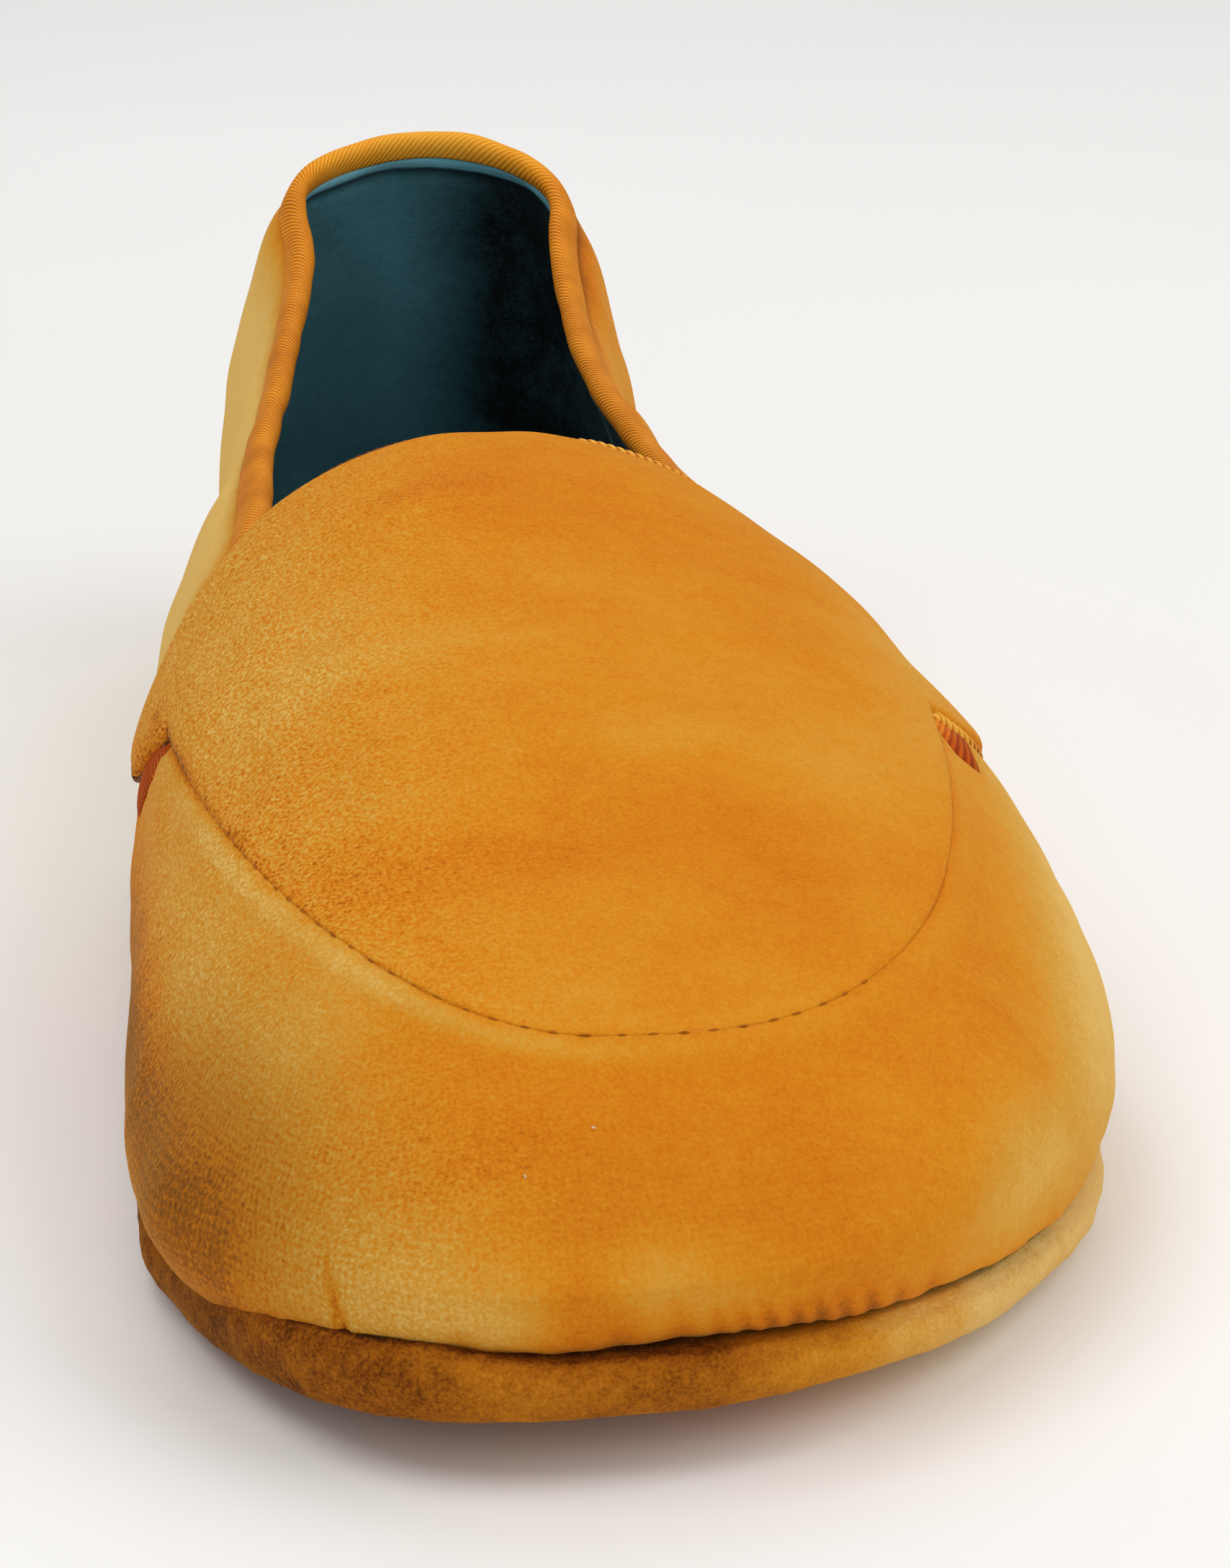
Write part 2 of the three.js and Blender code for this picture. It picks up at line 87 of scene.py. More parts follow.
# Apron: two superellipse arcs of the U seam from its apex, each as x, centre, end and exponent
U_APEX, U_FRONT = 3.3, 251.3
U_SIDES = np.array([(44, 175.6, 184, 2.58), (-38.4, 146.5, 173, 2.16)])
# The flap's free edge as u, x
FLAP_EDGE = np.array([
    (169.4, -39.2), (164.4, -41), (159.6, -40.9), (156.6, -38), (154.2, -34.4), (151.5, -30.4),
    (148.6, -25.2), (146.9, -19.5), (145.3, -11.5), (144.2, -1), (143.8, 9.2), (144.8, 17.5),
    (147.5, 25.5), (152.5, 33.5), (159.5, 41), (167.6, 47.4), (173, 50.5), (177.4, 50.8),
    (180.2, 49), (181.8, 46.8), (182.8, 44.9),
])
APRON_CENTRE = (4.0, 170.0)
FLAP_THICKNESS, SEAM_THICKNESS = 2.0, 0.9
THICK_TO, THIN_FROM = 165.0, 195.0
APRON_GAP = 0.5


def joined(*parts):
    return np.concatenate(parts)


# Curves through tables: the slope at a row is the mean of the slopes beside it
def column(table, index, flat_ends=False):
    at, value = table[:, 0], table[:, index]
    rise = np.diff(value) / np.diff(at)
    slope = joined(rise[:1], (rise[1:] + rise[:-1]) / 2, rise[-1:])
    if flat_ends:
        slope[0] = slope[-1] = 0.0

    def curve(u):
        u = np.clip(u, at[0], at[-1])
        i = np.clip(np.searchsorted(at, u, side="right") - 1, 0, len(at) - 2)
        width = at[i + 1] - at[i]
        t = (u - at[i]) / width
        return ((2 * t**3 - 3 * t**2 + 1) * value[i] + (t**3 - 2 * t**2 + t) * width * slope[i]
                + (3 * t**2 - 2 * t**3) * value[i + 1] + (t**3 - t**2) * width * slope[i + 1])
    return curve


medial_width, lateral_width = (column(PLAN, i, True) for i in (1, 2))
ridge_height, spine_shift, full_medial, full_lateral = (column(PROFILE, i) for i in (1, 2, 3, 4))
collar_top = column(COLLAR, 1)


def ease(value, low, high):
    t = np.clip((value - low) / (high - low), 0, 1)
    return t * t * (3 - 2 * t)


def hump(value, centre, width):
    return np.exp(-(((value - centre) / width) ** 2))


def heading(degrees):
    return math.cos(math.radians(degrees)), math.sin(math.radians(degrees))


def unit(vectors):
    return vectors / np.maximum(np.linalg.norm(vectors, axis=-1, keepdims=True), TINY)


def ramp(u, start):
    return np.clip((u - start) / (LENGTH - start), 0, None) ** 2


def spring(u):
    return SPRING_RISE * ramp(u, SPRING_FROM)


def bend(u):
    return BEND_SHIFT * ramp(u, BEND_FROM)


def equator(u):
    heelward = np.clip((TOE_CENTRE - u) / TOE_CENTRE, 0, 1)
    toeward = np.clip((u - TOE_CENTRE) / (LENGTH - TOE_CENTRE), 0, 1)
    over = EQUATOR_BALL + (EQUATOR_HEEL - EQUATOR_BALL) * heelward
    return SOLE_TOP + spring(u) + over + (EQUATOR_TIP - EQUATOR_BALL) * toeward


def heel_bulge(u):
    return (BULGE_HEEL - BULGE_FOOT) * (1 - ease(u, 0, BULGE_HEEL_END))


def at_tip(u):
    return ease(u, TIP_FROM, LENGTH)


def bulge(u):
    return BULGE_FOOT + heel_bulge(u) + TIP_TUCK * at_tip(u)


def sole_inset(u):
    return heel_bulge(u) - TIP_LEDGE * at_tip(u)


# How full a section is, blended from side to side round the toe and heel
def fullness(dx, du, u):
    lateral = ease(dx / np.maximum(np.hypot(dx, du), TINY), -SIDE_BLEND, SIDE_BLEND)
    return full_medial(u) + (full_lateral(u) - full_medial(u)) * lateral


def place(x, u, z):
    return np.stack([x + bend(u), -u, np.broadcast_to(z, np.shape(x))], -1)


def plan_of(points):
    u = -points[..., 1]
    return points[..., 0] - bend(u), u


# The widest line, a loop in plan, with the ridge points that it is drawn from:
# lateral side forward, round the toe, medial side back, round the heel
BODY_COLUMNS, TOE_COLUMNS, HEEL_COLUMNS = 112, 300, 90


def widest_line():
    stations = np.linspace(HEEL_CENTRE, TOE_CENTRE, BODY_COLUMNS + 1)
    back = stations[::-1]
    lateral = (lateral_width(stations), stations, spine_shift(stations), stations)
    medial = (-medial_width(back), back, spine_shift(back), back)

    def fan(centre, start, count, reach, exponent):
        angle = start + np.pi * np.arange(1, count) / count
        across, along = np.cos(angle), np.sin(angle)
        shift = spine_shift(centre)
        side = np.where(across > 0, lateral_width(centre) - shift, medial_width(centre) + shift)
        span = np.abs(across / side) ** exponent + np.abs(along / reach) ** exponent
        radius = span ** (-1 / exponent)
        flat = np.ones(count - 1)
        return shift + radius * across, centre + radius * along, shift * flat, centre * flat

    toe = fan(TOE_CENTRE, 0.0, TOE_COLUMNS, LENGTH - TOE_CENTRE, TOE_ROUND)
    heel = fan(HEEL_CENTRE, np.pi, HEEL_COLUMNS, HEEL_CENTRE, HEEL_ROUND)
    return tuple(joined(*parts) for parts in zip(lateral, toe, medial, heel))


RIM_X, RIM_U, ROOT_X, ROOT_U = widest_line()
REACH_X, REACH_U = RIM_X - ROOT_X, RIM_U - ROOT_U
RIM_REACH = np.hypot(REACH_X, REACH_U)
RIM_ARC = joined([0], np.cumsum(np.hypot(np.diff(RIM_X), np.diff(RIM_U))))
TOE_FAN = slice(BODY_COLUMNS + 1, BODY_COLUMNS + TOE_COLUMNS)
HEEL_MIDDLE = RIM_X[np.argmin(RIM_U)]
# The wall is cut where the collar's angle, found by halving, is below this
WHOLE_ANGLE, HALVINGS = 89.5, 40
# A distance that is out of every edge's reach
FAR = 60.0


def toward_rim(share):
    return ROOT_X + REACH_X * share, ROOT_U + REACH_U * share


def share_ring(share, z):
    x, u = toward_rim(share)
    return place(x, u, z(u))


def inset_ring(distance, z):
    return share_ring(1 - distance / RIM_REACH, z)


def dome_ring(degrees, grow):
    angle = np.radians(degrees)
    share = np.clip(np.cos(angle), 0, 1) ** (2 / fullness(REACH_X, REACH_U, RIM_U))
    low, high = equator(RIM_U), ridge_height(toward_rim(share)[1]) + grow
    z = low + (high - low) * np.sin(angle) ** (2 / DOME_RISE)
    return place(*toward_rim(share * (1 + grow / RIM_REACH)), z)


# Angle at which the collar cuts each section; 90 where the ridge stays whole
def collar_angles(grow):
    low, high = np.zeros_like(RIM_U), np.full_like(RIM_U, 90.0)
    for _ in range(HALVINGS):
        middle = (low + high) / 2
        point = dome_ring(middle, grow)
        below = point[:, 2] < collar_top(-point[:, 1]) - BINDING_HEIGHT
        low, high = np.where(below, middle, low), np.where(below, high, middle)
    return low


def last_height(x, u):
    centre = np.clip(u, HEEL_CENTRE, TOE_CENTRE)
    shift = spine_shift(centre)
    dx, du = x - shift, u - centre
    side = np.where(dx > 0, lateral_width(centre) - shift, medial_width(centre) + shift)
    toe = u > TOE_CENTRE
    exponent = np.where(toe, TOE_ROUND, HEEL_ROUND)
    reach = np.where(toe, LENGTH - TOE_CENTRE, HEEL_CENTRE)
    share = (np.abs(dx / side) ** exponent + np.abs(du / reach) ** exponent) ** (1 / exponent)
    rim_u = centre + du / np.maximum(share, 1e-6)
    full = fullness(dx, du, rim_u)
    low = equator(rim_u)
    return low + (ridge_height(u) - low) * np.clip(1 - share**full, 0, None) ** (1 / DOME_RISE)


def surface(x, u):
    return place(x, u, last_height(x, u))


def normal_at(x, u, reach=0.4):
    along = surface(x, u + reach) - surface(x, u - reach)
    across = surface(x + reach, u) - surface(x - reach, u)
    normal = np.cross(across, -along)
    return unit(normal * np.sign(normal[..., 2:]))


# Smooth random relief: a sum of plane waves in seeded directions
def waves(points, length, seed, count=28):
    rng = np.random.default_rng(seed)
    direction = unit(rng.normal(size=(count, 3)))
    number = 2 * np.pi / (length * rng.uniform(0.7, 1.5, count))
    phase = rng.uniform(0, 2 * np.pi, count)
    total = np.zeros(points.shape[:-1])
    for d, k, p in zip(direction, number, phase):
        total += np.sin(points @ d * k + p)
    return total * math.sqrt(2 / count)


# Unevenness of a surface, as rows of height, wave length and seed
def uneven(points, rows):
    return sum(height * waves(points, length, seed) for height, length, seed in rows)


# Soft patches of brushed pile and of painted light and shade: x, u, z, radius across, radius along, radius
# up, strength
def patches(points, rows):
    x, u = plan_of(points)
    z = points[..., 2]
    total = np.zeros(x.shape)
    for px, pu, pz, rx, ru, rz, strength in rows:
        total += strength * hump(x, px, rx) * hump(u, pu, ru) * hump(z, pz, rz)
    return total


# The shoe's plan sits in the frame with the heel's back at the box's far end
lowest, highest = (np.array(corner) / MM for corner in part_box("upper"))
SHIFT = np.array([lowest[0] - (RIM_X + bend(RIM_U)).min(), highest[1], 0.0])


def to_frame(points):
    return (np.asarray(points, float) + SHIFT) * MM


def add_object(name, data):
    thing = bpy.data.objects.new(name, data)
    bpy.context.scene.collection.objects.link(thing)
    return thing


# Meshes from arrays: points are welded where they meet and faces that vanish are dropped.
# A mask gives its points' values in order, and is zero on the points after them.
def mesh_piece(name, points, faces, materials, masks=None, face_slots=None):
    points = to_frame(points).reshape(-1, 3)
    _, first, where = np.unique(np.round(points, 8), axis=0, return_index=True, return_inverse=True)
    rows, kept = [], []
    for number, row in enumerate(where.ravel()[faces].tolist()):
        ring = [v for i, v in enumerate(row) if v != row[i - 1]]
        if len(ring) > 2 and len(set(ring)) == len(ring):
            rows.append(ring)
            kept.append(number)
    mesh = bpy.data.meshes.new(name)
    mesh.from_pydata(points[first].tolist(), [], rows, shade_flat=False)
    for material in materials:
        mesh.materials.append(material)
    if face_slots is not None:
        mesh.polygons.foreach_set("material_index", face_slots[kept].astype(np.int32))
    for mask, values in (masks or {}).items():
        whole = np.zeros(len(points), np.float32)
        whole[:np.size(values)] = np.ravel(values)
        mesh.attributes.new(mask, "FLOAT", "POINT").data.foreach_set("value", whole[first])
    shell = bmesh.new()
    shell.from_mesh(mesh)
    bmesh.ops.recalc_face_normals(shell, faces=shell.faces)
    shell.to_mesh(mesh)
    shell.free()
    piece = add_object(name, mesh)
    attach(piece, "root")
    return piece


def grid_faces(rows, columns, closed=True):
    number = np.arange(rows * columns).reshape(rows, columns)
    nxt = np.roll(number, -1, axis=1)
    quads = np.stack([number[:-1], number[1:], nxt[1:], nxt[:-1]], -1)
    return (quads if closed else quads[:, :-1]).reshape(-1, 4)


# Outward normals of rings stacked upward
def grid_normals(grid):
    along = np.roll(grid, -1, axis=1) - np.roll(grid, 1, axis=1)
    return unit(np.cross(np.gradient(grid, axis=0), along))


# Distance to a line's nearest point and that point's number, block by block
NEAREST_BLOCK = 4000


def nearest(points, line):
    flat = points.reshape(-1, points.shape[-1])
    distance, index = np.empty(len(flat)), np.empty(len(flat), int)
    for start in range(0, len(flat), NEAREST_BLOCK):
        block = slice(start, start + NEAREST_BLOCK)
        gap = ((flat[block, None] - line) ** 2).sum(-1)
        index[block] = gap.argmin(1)
        distance[block] = np.sqrt(gap.min(1))
    return distance.reshape(points.shape[:-1]), index.reshape(points.shape[:-1])


def inside(x, y, outline):
    result = np.zeros(x.shape, bool)
    for (ax, ay), (bx, by) in zip(outline, np.roll(outline, -1, axis=0)):
        if ay != by:
            result ^= ((ay > y) != (by > y)) & (x < (bx - ax) * (y - ay) / (by - ay) + ax)
    return result


# Length along a line, or along each column of a grid, from its first row
def line_length(points):
    steps = np.linalg.norm(np.diff(points, axis=0), axis=-1)
    return joined(np.zeros_like(steps[:1]), np.cumsum(steps, axis=0))


def even_line(points, count, axes=None):
    length = line_length(points[:, :axes])
    at = np.linspace(0, length[-1], count)
    return np.stack([np.interp(at, length, values) for values in points.T], -1)


def spline_line(knots, count, per_span=40):
    rows = []
    for i in range(len(knots) - 1):
        before, start, end = knots[max(i - 1, 0)], knots[i], knots[i + 1]
        after = knots[min(i + 2, len(knots) - 1)]
        t = np.linspace(0, 1, per_span, endpoint=False)[:, None]
        leave, arrive = (end - before) / 2, (after - start) / 2
        rows.append((2 * start - 2 * end + leave + arrive) * t**3
                    + (-3 * start + 3 * end - 2 * leave - arrive) * t**2 + leave * t + start)
    rows.append(knots[-1:])
    return even_line(joined(*rows), count)


# The apron's outline in plan: the U seam from lateral to medial, then the free edge back
def seam_line(count):
    _, centre, end, exponent = U_SIDES.T
    first, last = np.arcsin(((end - centre) / (U_FRONT - centre)) ** (exponent / 2))
    angle = np.linspace(first, np.pi - last, 4 * count)
    cosine, sine = np.cos(angle), np.sin(angle)
    side, centre, _, exponent = np.where(cosine > 0, *U_SIDES[..., None])
    x = U_APEX + (side - U_APEX) * np.abs(cosine) ** (2 / exponent)
    u = centre + (U_FRONT - centre) * sine ** (2 / exponent)
    return even_line(np.stack([x, u], -1), count)


SEAM_POINTS = 400
SEAM = seam_line(SEAM_POINTS)
SEAM_SHARE = np.linspace(0, 1, len(SEAM))
FREE_EDGE = spline_line(joined(SEAM[-1:], FLAP_EDGE[:, ::-1], SEAM[:1]), SEAM_POINTS)
APRON_OUTLINE = joined(SEAM, FREE_EDGE[1:-1])
# The seam's medial side, front and lateral side
SEAM_MEDIAL = ease(SEAM_SHARE, 0.66, 0.80)
SEAM_FRONT = ease(SEAM_SHARE, 0.20, 0.34) * (1 - ease(SEAM_SHARE, 0.70, 0.80))
SEAM_SIDE = 1 - ease(SEAM_SHARE, 0.20, 0.36)
# Painted shade in the seam's groove, most beside the medial notch; the groove's depth follows it
SEAM_SHADE = 0.16 * SEAM_MEDIAL + 0.30 * ease(SEAM_SHARE, 0.82, 0.97)
# Paleness of the ridge beside the seam, most at the front: partly brushed pile, partly painted highlight
SEAM_PILE_HIGHLIGHT = 0.05 + 0.17 * ease(SEAM_SHARE, 0.36, 0.60) * (1 - ease(SEAM_SHARE, 0.80, 0.92))
# Height of both sides at the seam: flush in front, sunk beside the medial notch
SEAM_RISE = 1.3
SEAM_GROOVE = 0.05 + 1.1 * SEAM_SHADE
SEAM_LOW = SEAM_RISE - SEAM_GROOVE


# Upper: velvet outside, lining inside, one closed shell
BELOW_ROWS, ABOVE_ROWS = 12, 98
INNER_BELOW_ROWS, INNER_ABOVE_ROWS = 5, 36
# Lasting gathers at the toe: x on the widest line, depth, width, reach up, lean to the medial side
GATHERS = (
    (-33, 0.1, 2.2, 8, 0), (-22.4, 0.4, 0.6, 12, 0.25), (-12, 0.1, 2.2, 7, 0),
    (2.5, 0.12, 1.6, 8, 0), (8.5, 0.15, 1.3, 8, 0.2), (12.6, 0.18, 0.9, 7, 0.4),
    (15.2, 0.2, 0.9, 6.5, 0.5), (17.6, 0.24, 0.8, 6, 0.5), (20.1, 0.22, 0.8, 5.5, 0.5),
    (22.4, 0.26, 0.8, 5.5, 0.5), (24.9, 0.22, 0.8, 5, 0.5), (27.5, 0.24, 0.8, 5, 0.5),
    (30.2, 0.18, 0.9, 4.5, 0.4), (33.6, 0.14, 1.2, 4.5, 0.3),
)
# A gather's fade and the puff beside it, as shares of its reach, depth and width
GATHER_FADE, PUFF_HEIGHT, PUFF_WIDTH = 0.35, 0.45, 2.6
# Patches of the vamp and quarters, pale above zero and dark below: partly brushed pile, partly painted sheen
# (pale along the lateral edge and over the medial quarter) and painted shade (the dark band low on the
# medial side)
UPPER_PILE_AND_LIGHT = (
    (-24, 260, 25, 12, 12, 11, 0.06), (-31, 250, 25, 12, 13, 10, 0.06), (-18, 271, 17, 10, 11, 7, 0.22),
    (-27, 265, 16, 9, 11, 7, 0.1), (-9, 274, 16, 6, 8, 4, 0.22), (6, 274, 19, 5, 8, 4, 0.22),
    (-40, 212, 28, 13, 30, 15, 0.2), (-44, 216, 21, 6, 50, 9, -0.6), (-37, 249, 19, 8, 14, 8, -0.24),
    (12, 274, 16, 5, 8, 4, 0.14), (-37, 228, 30, 14, 18, 12, 0.12), (-8, 263, 28, 9, 8, 9, -0.06),
    (20, 258, 28, 16, 14, 10, -0.05), (57, 214, 22, 9, 46, 14, 0.52), (44, 255, 17, 11, 11, 9, 0.3),
    (-2, 274, 16, 3, 8, 4, -0.14), (-33, 80, 42, 18, 70, 42, 0.85), (32, 85, 45, 14, 50, 25, 0.16),
    (0, 3, 45, 30, 14, 30, 0.12), (-29, 22, 45, 12, 24, 40, 0.25), (52, 180, 30, 6, 22, 14, 0.22),
    (-24, 244, 32, 8, 9, 8, 0.15), (-33, 255, 19, 8, 10, 6, -0.13),
)
# Where the weave rows show; the velvet is also painted darker there as shade
WEAVE_ROWS = ((-30, 252, 22, 14, 20, 12, 1.0), (-38, 234, 22, 9, 18, 10, 0.6), (0, 268, 20, 34, 12, 10, 0.3))
MOTTLE = ((-40, 225, 26, 20, 34, 22, 0.65), (-22, 264, 20, 16, 14, 14, 0.5), (-40, 185, 26, 14, 30, 20, 0.7))
UPPER_UNEVEN, APRON_UNEVEN = ((0.28, 34, 3), (0.08, 11, 5)), ((0.15, 24, 11), (0.07, 9, 13))
# The vamp swells towards the U seam and dives under the apron there
SEAM_SWELL, SEAM_DIVE = 9.0, 2.2
# Gussets of the two notches in front of the wings: x, u, half width, lift
GUSSETS = {
    "medial": np.array([(-37.9, 173.6, 0.6, 0.5), (-39.2, 171, 1.9, 0.6), (-40.4, 168.4, 2.5, 0.5),
                        (-41.4, 166, 2.3, 0.2), (-42.1, 163.8, 1.3, -0.5)]),
    "lateral": np.array([(43.5, 184.3, 0.6, 0.5), (45.2, 185.4, 2, 0.6), (46.8, 186.2, 3.8, 0.5),
                         (48.2, 186.5, 4.2, 0.2), (49.2, 186.3, 2.4, -0.5)]),
}


def wall_rings(grow, top, below, above):
    rings = []
    for drop in np.linspace(1, 0, below, endpoint=False):
        overhang = 1 - math.sqrt(1 - drop * drop)

        def height(u, drop=drop):
            return equator(u) + (SOLE_TOP + GAP + spring(u) - equator(u)) * drop
        rings.append(inset_ring(bulge(RIM_U) * overhang - grow, height))
    for part in np.linspace(0, 1, above):
        rings.append(dome_ring(top * part, grow))
    return np.array(rings)


def gathers(over_foot):
    rise, groove = np.zeros_like(over_foot), np.zeros_like(over_foot)
    for toe_x, depth, width, reach, lean in GATHERS:
        middle = np.interp(-toe_x, -RIM_X[TOE_FAN], RIM_ARC[TOE_FAN])
        arc = RIM_ARC - middle - lean * over_foot
        fade = depth * (1 - ease(over_foot, GATHER_FADE * reach, reach))
        groove += fade * hump(arc, 0, width)
        rise += PUFF_HEIGHT * fade * hump(arc, 0, PUFF_WIDTH * width)
    return rise - groove, groove


# Sag of the vamp over the sole: u, length, height
MEDIAL_SAG = ((228, 12, 1.7), (246, 11, 3))
LATERAL_SAG = ((226, 12, 0.9), (256, 11, -2))


def sag(u, rows):
    return sum(height * hump(u, centre, length) for centre, length, height in rows)


def upper_relief(grid, over_foot, room, seam_gap, seam_at, covered):
    x, u = plan_of(grid)
    relief = uneven(grid, UPPER_UNEVEN)
    waist = ease(u, 40, 75) * (1 - ease(u, 130, 160))
    relief += 0.35 * waist * waves(grid * (1, 1, 0.35), 24.0, 9)
    relief *= ease(seam_gap, 0, 6) * ease(room, 0.5, 4.0)
    relief += np.exp(-over_foot / 4.0) * 0.06 * waves(grid, 3.4, 7) + gathers(over_foot)[0]
    full = sag(u, MEDIAL_SAG) * ease(-x, 10, 30) + sag(u, LATERAL_SAG) * ease(x, 25, 42)
    relief += full * hump(over_foot, 6.0, 6.0)
    front, medial = SEAM_FRONT[seam_at], SEAM_MEDIAL[seam_at]
    relief += SEAM_RISE * np.exp(-seam_gap / SEAM_SWELL)
    relief += (0.20 * front + 0.10 * medial) * hump(seam_gap, 2.0, 1.5)
    relief -= hump(seam_gap, 0, 0.7) * SEAM_GROOVE[seam_at]
    relief += 0.35 * hump(room, 5.5, 4.0) - 0.7 * np.exp(-room / 1.6)
    heel_arc = np.where(RIM_U < 20, RIM_X - HEEL_MIDDLE, FAR)
    back_seam = 0.22 * hump(np.abs(heel_arc), 1.8, 1.3) - 0.45 * hump(heel_arc, 0, 0.7)
    relief += back_seam * ease(over_foot, 0, 6)
    dive = np.maximum(SEAM_LOW[seam_at] - 0.1 - SEAM_DIVE * np.clip(seam_gap - 0.6, 0, None), -0.4)
    return np.where(covered, np.minimum(relief, dive), relief)


# The vamp is pressed in under each gusset
NOTCH_DEPTH, NOTCH_MARGIN = 1.2, 0.3


def notch_depth(grid):
    depth = np.zeros(grid.shape[:2])
    for rows in GUSSETS.values():
        line = spline_line(rows, 40)
        gap, at = nearest(grid, surface(*line.T[:2]))
        depth = np.maximum(depth, NOTCH_DEPTH * np.exp(-(gap / (line[at, 2] + NOTCH_MARGIN)) ** 4))
    return depth


# The heel's shoulders, broader than the last: side, u, length, shift
SHOULDERS = ((-1, 14, 15, 1.2), (1, 20, 13, 1.1))


def broaden(points):
    moved = points.copy()
    high = ease(points[..., 2], 54, 70)
    for side, u, length, shift in SHOULDERS:
        beside = ease(side * (points[..., 0] - HEEL_MIDDLE), 4, 14)
        moved[..., 0] += side * shift * hump(-points[..., 1], u, length) * beside * high
    return moved


def build_upper(velvet, lining):
    outer_top, inner_top = collar_angles(0.0), collar_angles(-WALL)
    outer = broaden(wall_rings(0.0, outer_top, BELOW_ROWS, ABOVE_ROWS))
    inner = broaden(wall_rings(-WALL, inner_top, INNER_BELOW_ROWS, INNER_ABOVE_ROWS))
    cut = outer_top < WHOLE_ANGLE
    x, u = plan_of(outer)
    over_foot = outer[..., 2] - (SOLE_TOP + GAP + spring(u))
    climb = line_length(outer)
    room = np.where(cut, climb[-1] - climb, FAR)
    seam_gap, seam_at = nearest(outer, surface(*SEAM.T))
    covered = inside(x, u, APRON_OUTLINE) & (outer[..., 2] > equator(u))
    relief = upper_relief(outer, over_foot, room, seam_gap, seam_at, covered)
    level = np.linspace(0, 1, len(outer))[:, None]
    relief = np.where(cut, relief, relief * (1 - ease(level, 0.86, 0.97))) - notch_depth(outer)
    nap_and_light = patches(outer, UPPER_PILE_AND_LIGHT)
    # Painted highlight on the pile ridge beside the U seam, painted shade in its groove
    nap_and_light += SEAM_PILE_HIGHLIGHT[seam_at] * hump(seam_gap, 1.8, 1.3)
    nap_and_light -= (SEAM_SHADE + 0.06 * SEAM_SIDE)[seam_at] * hump(seam_gap, 0, 0.6)
    # Painted shade in the groove beside the collar tape and along the hem next to the sole
    nap_and_light -= 0.50 * np.exp(-room / 2.0) + 0.20 * np.exp(-over_foot / 0.9)
    # Painted shade in the grooves of the gathers
    nap_and_light -= gathers(over_foot)[1]
    weave_and_shade = patches(outer, WEAVE_ROWS) + 0.3 * SEAM_PILE_HIGHLIGHT[seam_at] * hump(seam_gap, 1.8, 1.6)
    moved = outer + grid_normals(outer) * relief[..., None]

    inner_climb = line_length(inner)
    inner_room = np.where(cut, inner_climb[-1] - inner_climb, FAR)
    inner_x, inner_u = plan_of(inner)
    heel = 1 - ease(inner_u, 30, 50)
    facing = 0.4 * hump(inner_room, 0.9, 0.9) - 0.3 * hump(inner_room, 2.6, 0.7)
    puff = np.clip(0.3 * waves(inner, 17.0, 31) + heel * facing, -0.5, 0.6) * (inner_room > 0.4)

    grid = joined(moved, (inner - grid_normals(inner) * puff[..., None])[::-1])
    rows, columns = grid.shape[:2]
    row_of = np.repeat(np.arange(rows), columns)
    kept = (row_of != len(outer) - 1) | np.tile(cut | np.roll(cut, -1), rows)
    faces = (grid_faces(rows + 1, columns) % (rows * columns))[kept]
    slots = row_of[kept] >= len(outer)
    masks = {
        # The lining's mask is painted shade, darker towards its lateral side
        "nap_and_light": joined(nap_and_light, (0.08 - 0.52 * ease(inner_x, -3, 16))[::-1]),
        "weave_and_shade": np.clip(weave_and_shade, 0, 1),
        "mottle": np.clip(patches(outer, MOTTLE), 0, 1),
        "climb": climb,
        "round": np.broadcast_to(RIM_ARC, (rows, columns)),
        "depth": joined(np.full(x.shape, FAR), inner_room[::-1]),
        "heel": joined(np.zeros(x.shape), heel[::-1]),
    }
    piece = mesh_piece("upper_velvet", grid, faces, [velvet, lining], masks, slots)
    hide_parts("upper")


# Apron: a square grid stretched over the outline
APRON_CELLS = 150
SEAM_CORNERS, EDGE_CORNERS = (0.30, 0.68), (0.27, 0.70)
# Rounding of its edges: at the seam, more on the medial side, and at the free edge
SEAM_ROUND, MEDIAL_ROUND, EDGE_ROUND = 0.9, 0.5, 1.2
# Patches of the apron's pile, pale above zero and dark below: partly brushed pile, partly painted light and
# shade
APRON_PILE_AND_LIGHT = (
    (-24, 186, 50, 15, 15, 30, 0.12), (-31, 160, 49, 10, 14, 30, 0.14), (-10, 191, 53, 14, 3, 30, 0.08),
    (15, 208, 47, 13, 4, 30, 0.09), (20, 228, 40, 15, 12, 30, -0.08), (33, 208, 42, 9, 12, 30, 0.11),
    (0, 160, 60, 16, 12, 30, -0.06), (42, 190, 40, 7, 14, 30, 0.1), (44, 170, 40, 8, 9, 30, 0.14),
    (-4, 226, 44, 12, 6, 30, -0.05), (-20, 216, 44, 10, 5, 30, 0.06), (2, 240, 40, 24, 9, 30, 0.05),
    (-37.6, 168.6, 40, 0.35, 2, 30, -0.45), (-30, 190, 48, 12, 26, 30, 0.08),
)
# Soft folds across the apron: x, u, half length, half width, height, heading in degrees
APRON_FOLDS = (
    (-9, 191, 15, 2.6, 0.4, 6), (14, 207, 16, 3, 0.35, -8), (24, 186, 14, 2.6, 0.3, -16),
    (-14, 172, 12, 3, -0.3, 12), (6, 222, 14, 3.4, -0.28, -4),
)
WING_LIFT = ((-41, 162, 8, 0.1), (50, 178, 8, -0.1))


def wing_lift(x, u):
    return sum(lift * hump(x, px, reach) * hump(u, pu, reach) for px, pu, reach, lift in WING_LIFT)


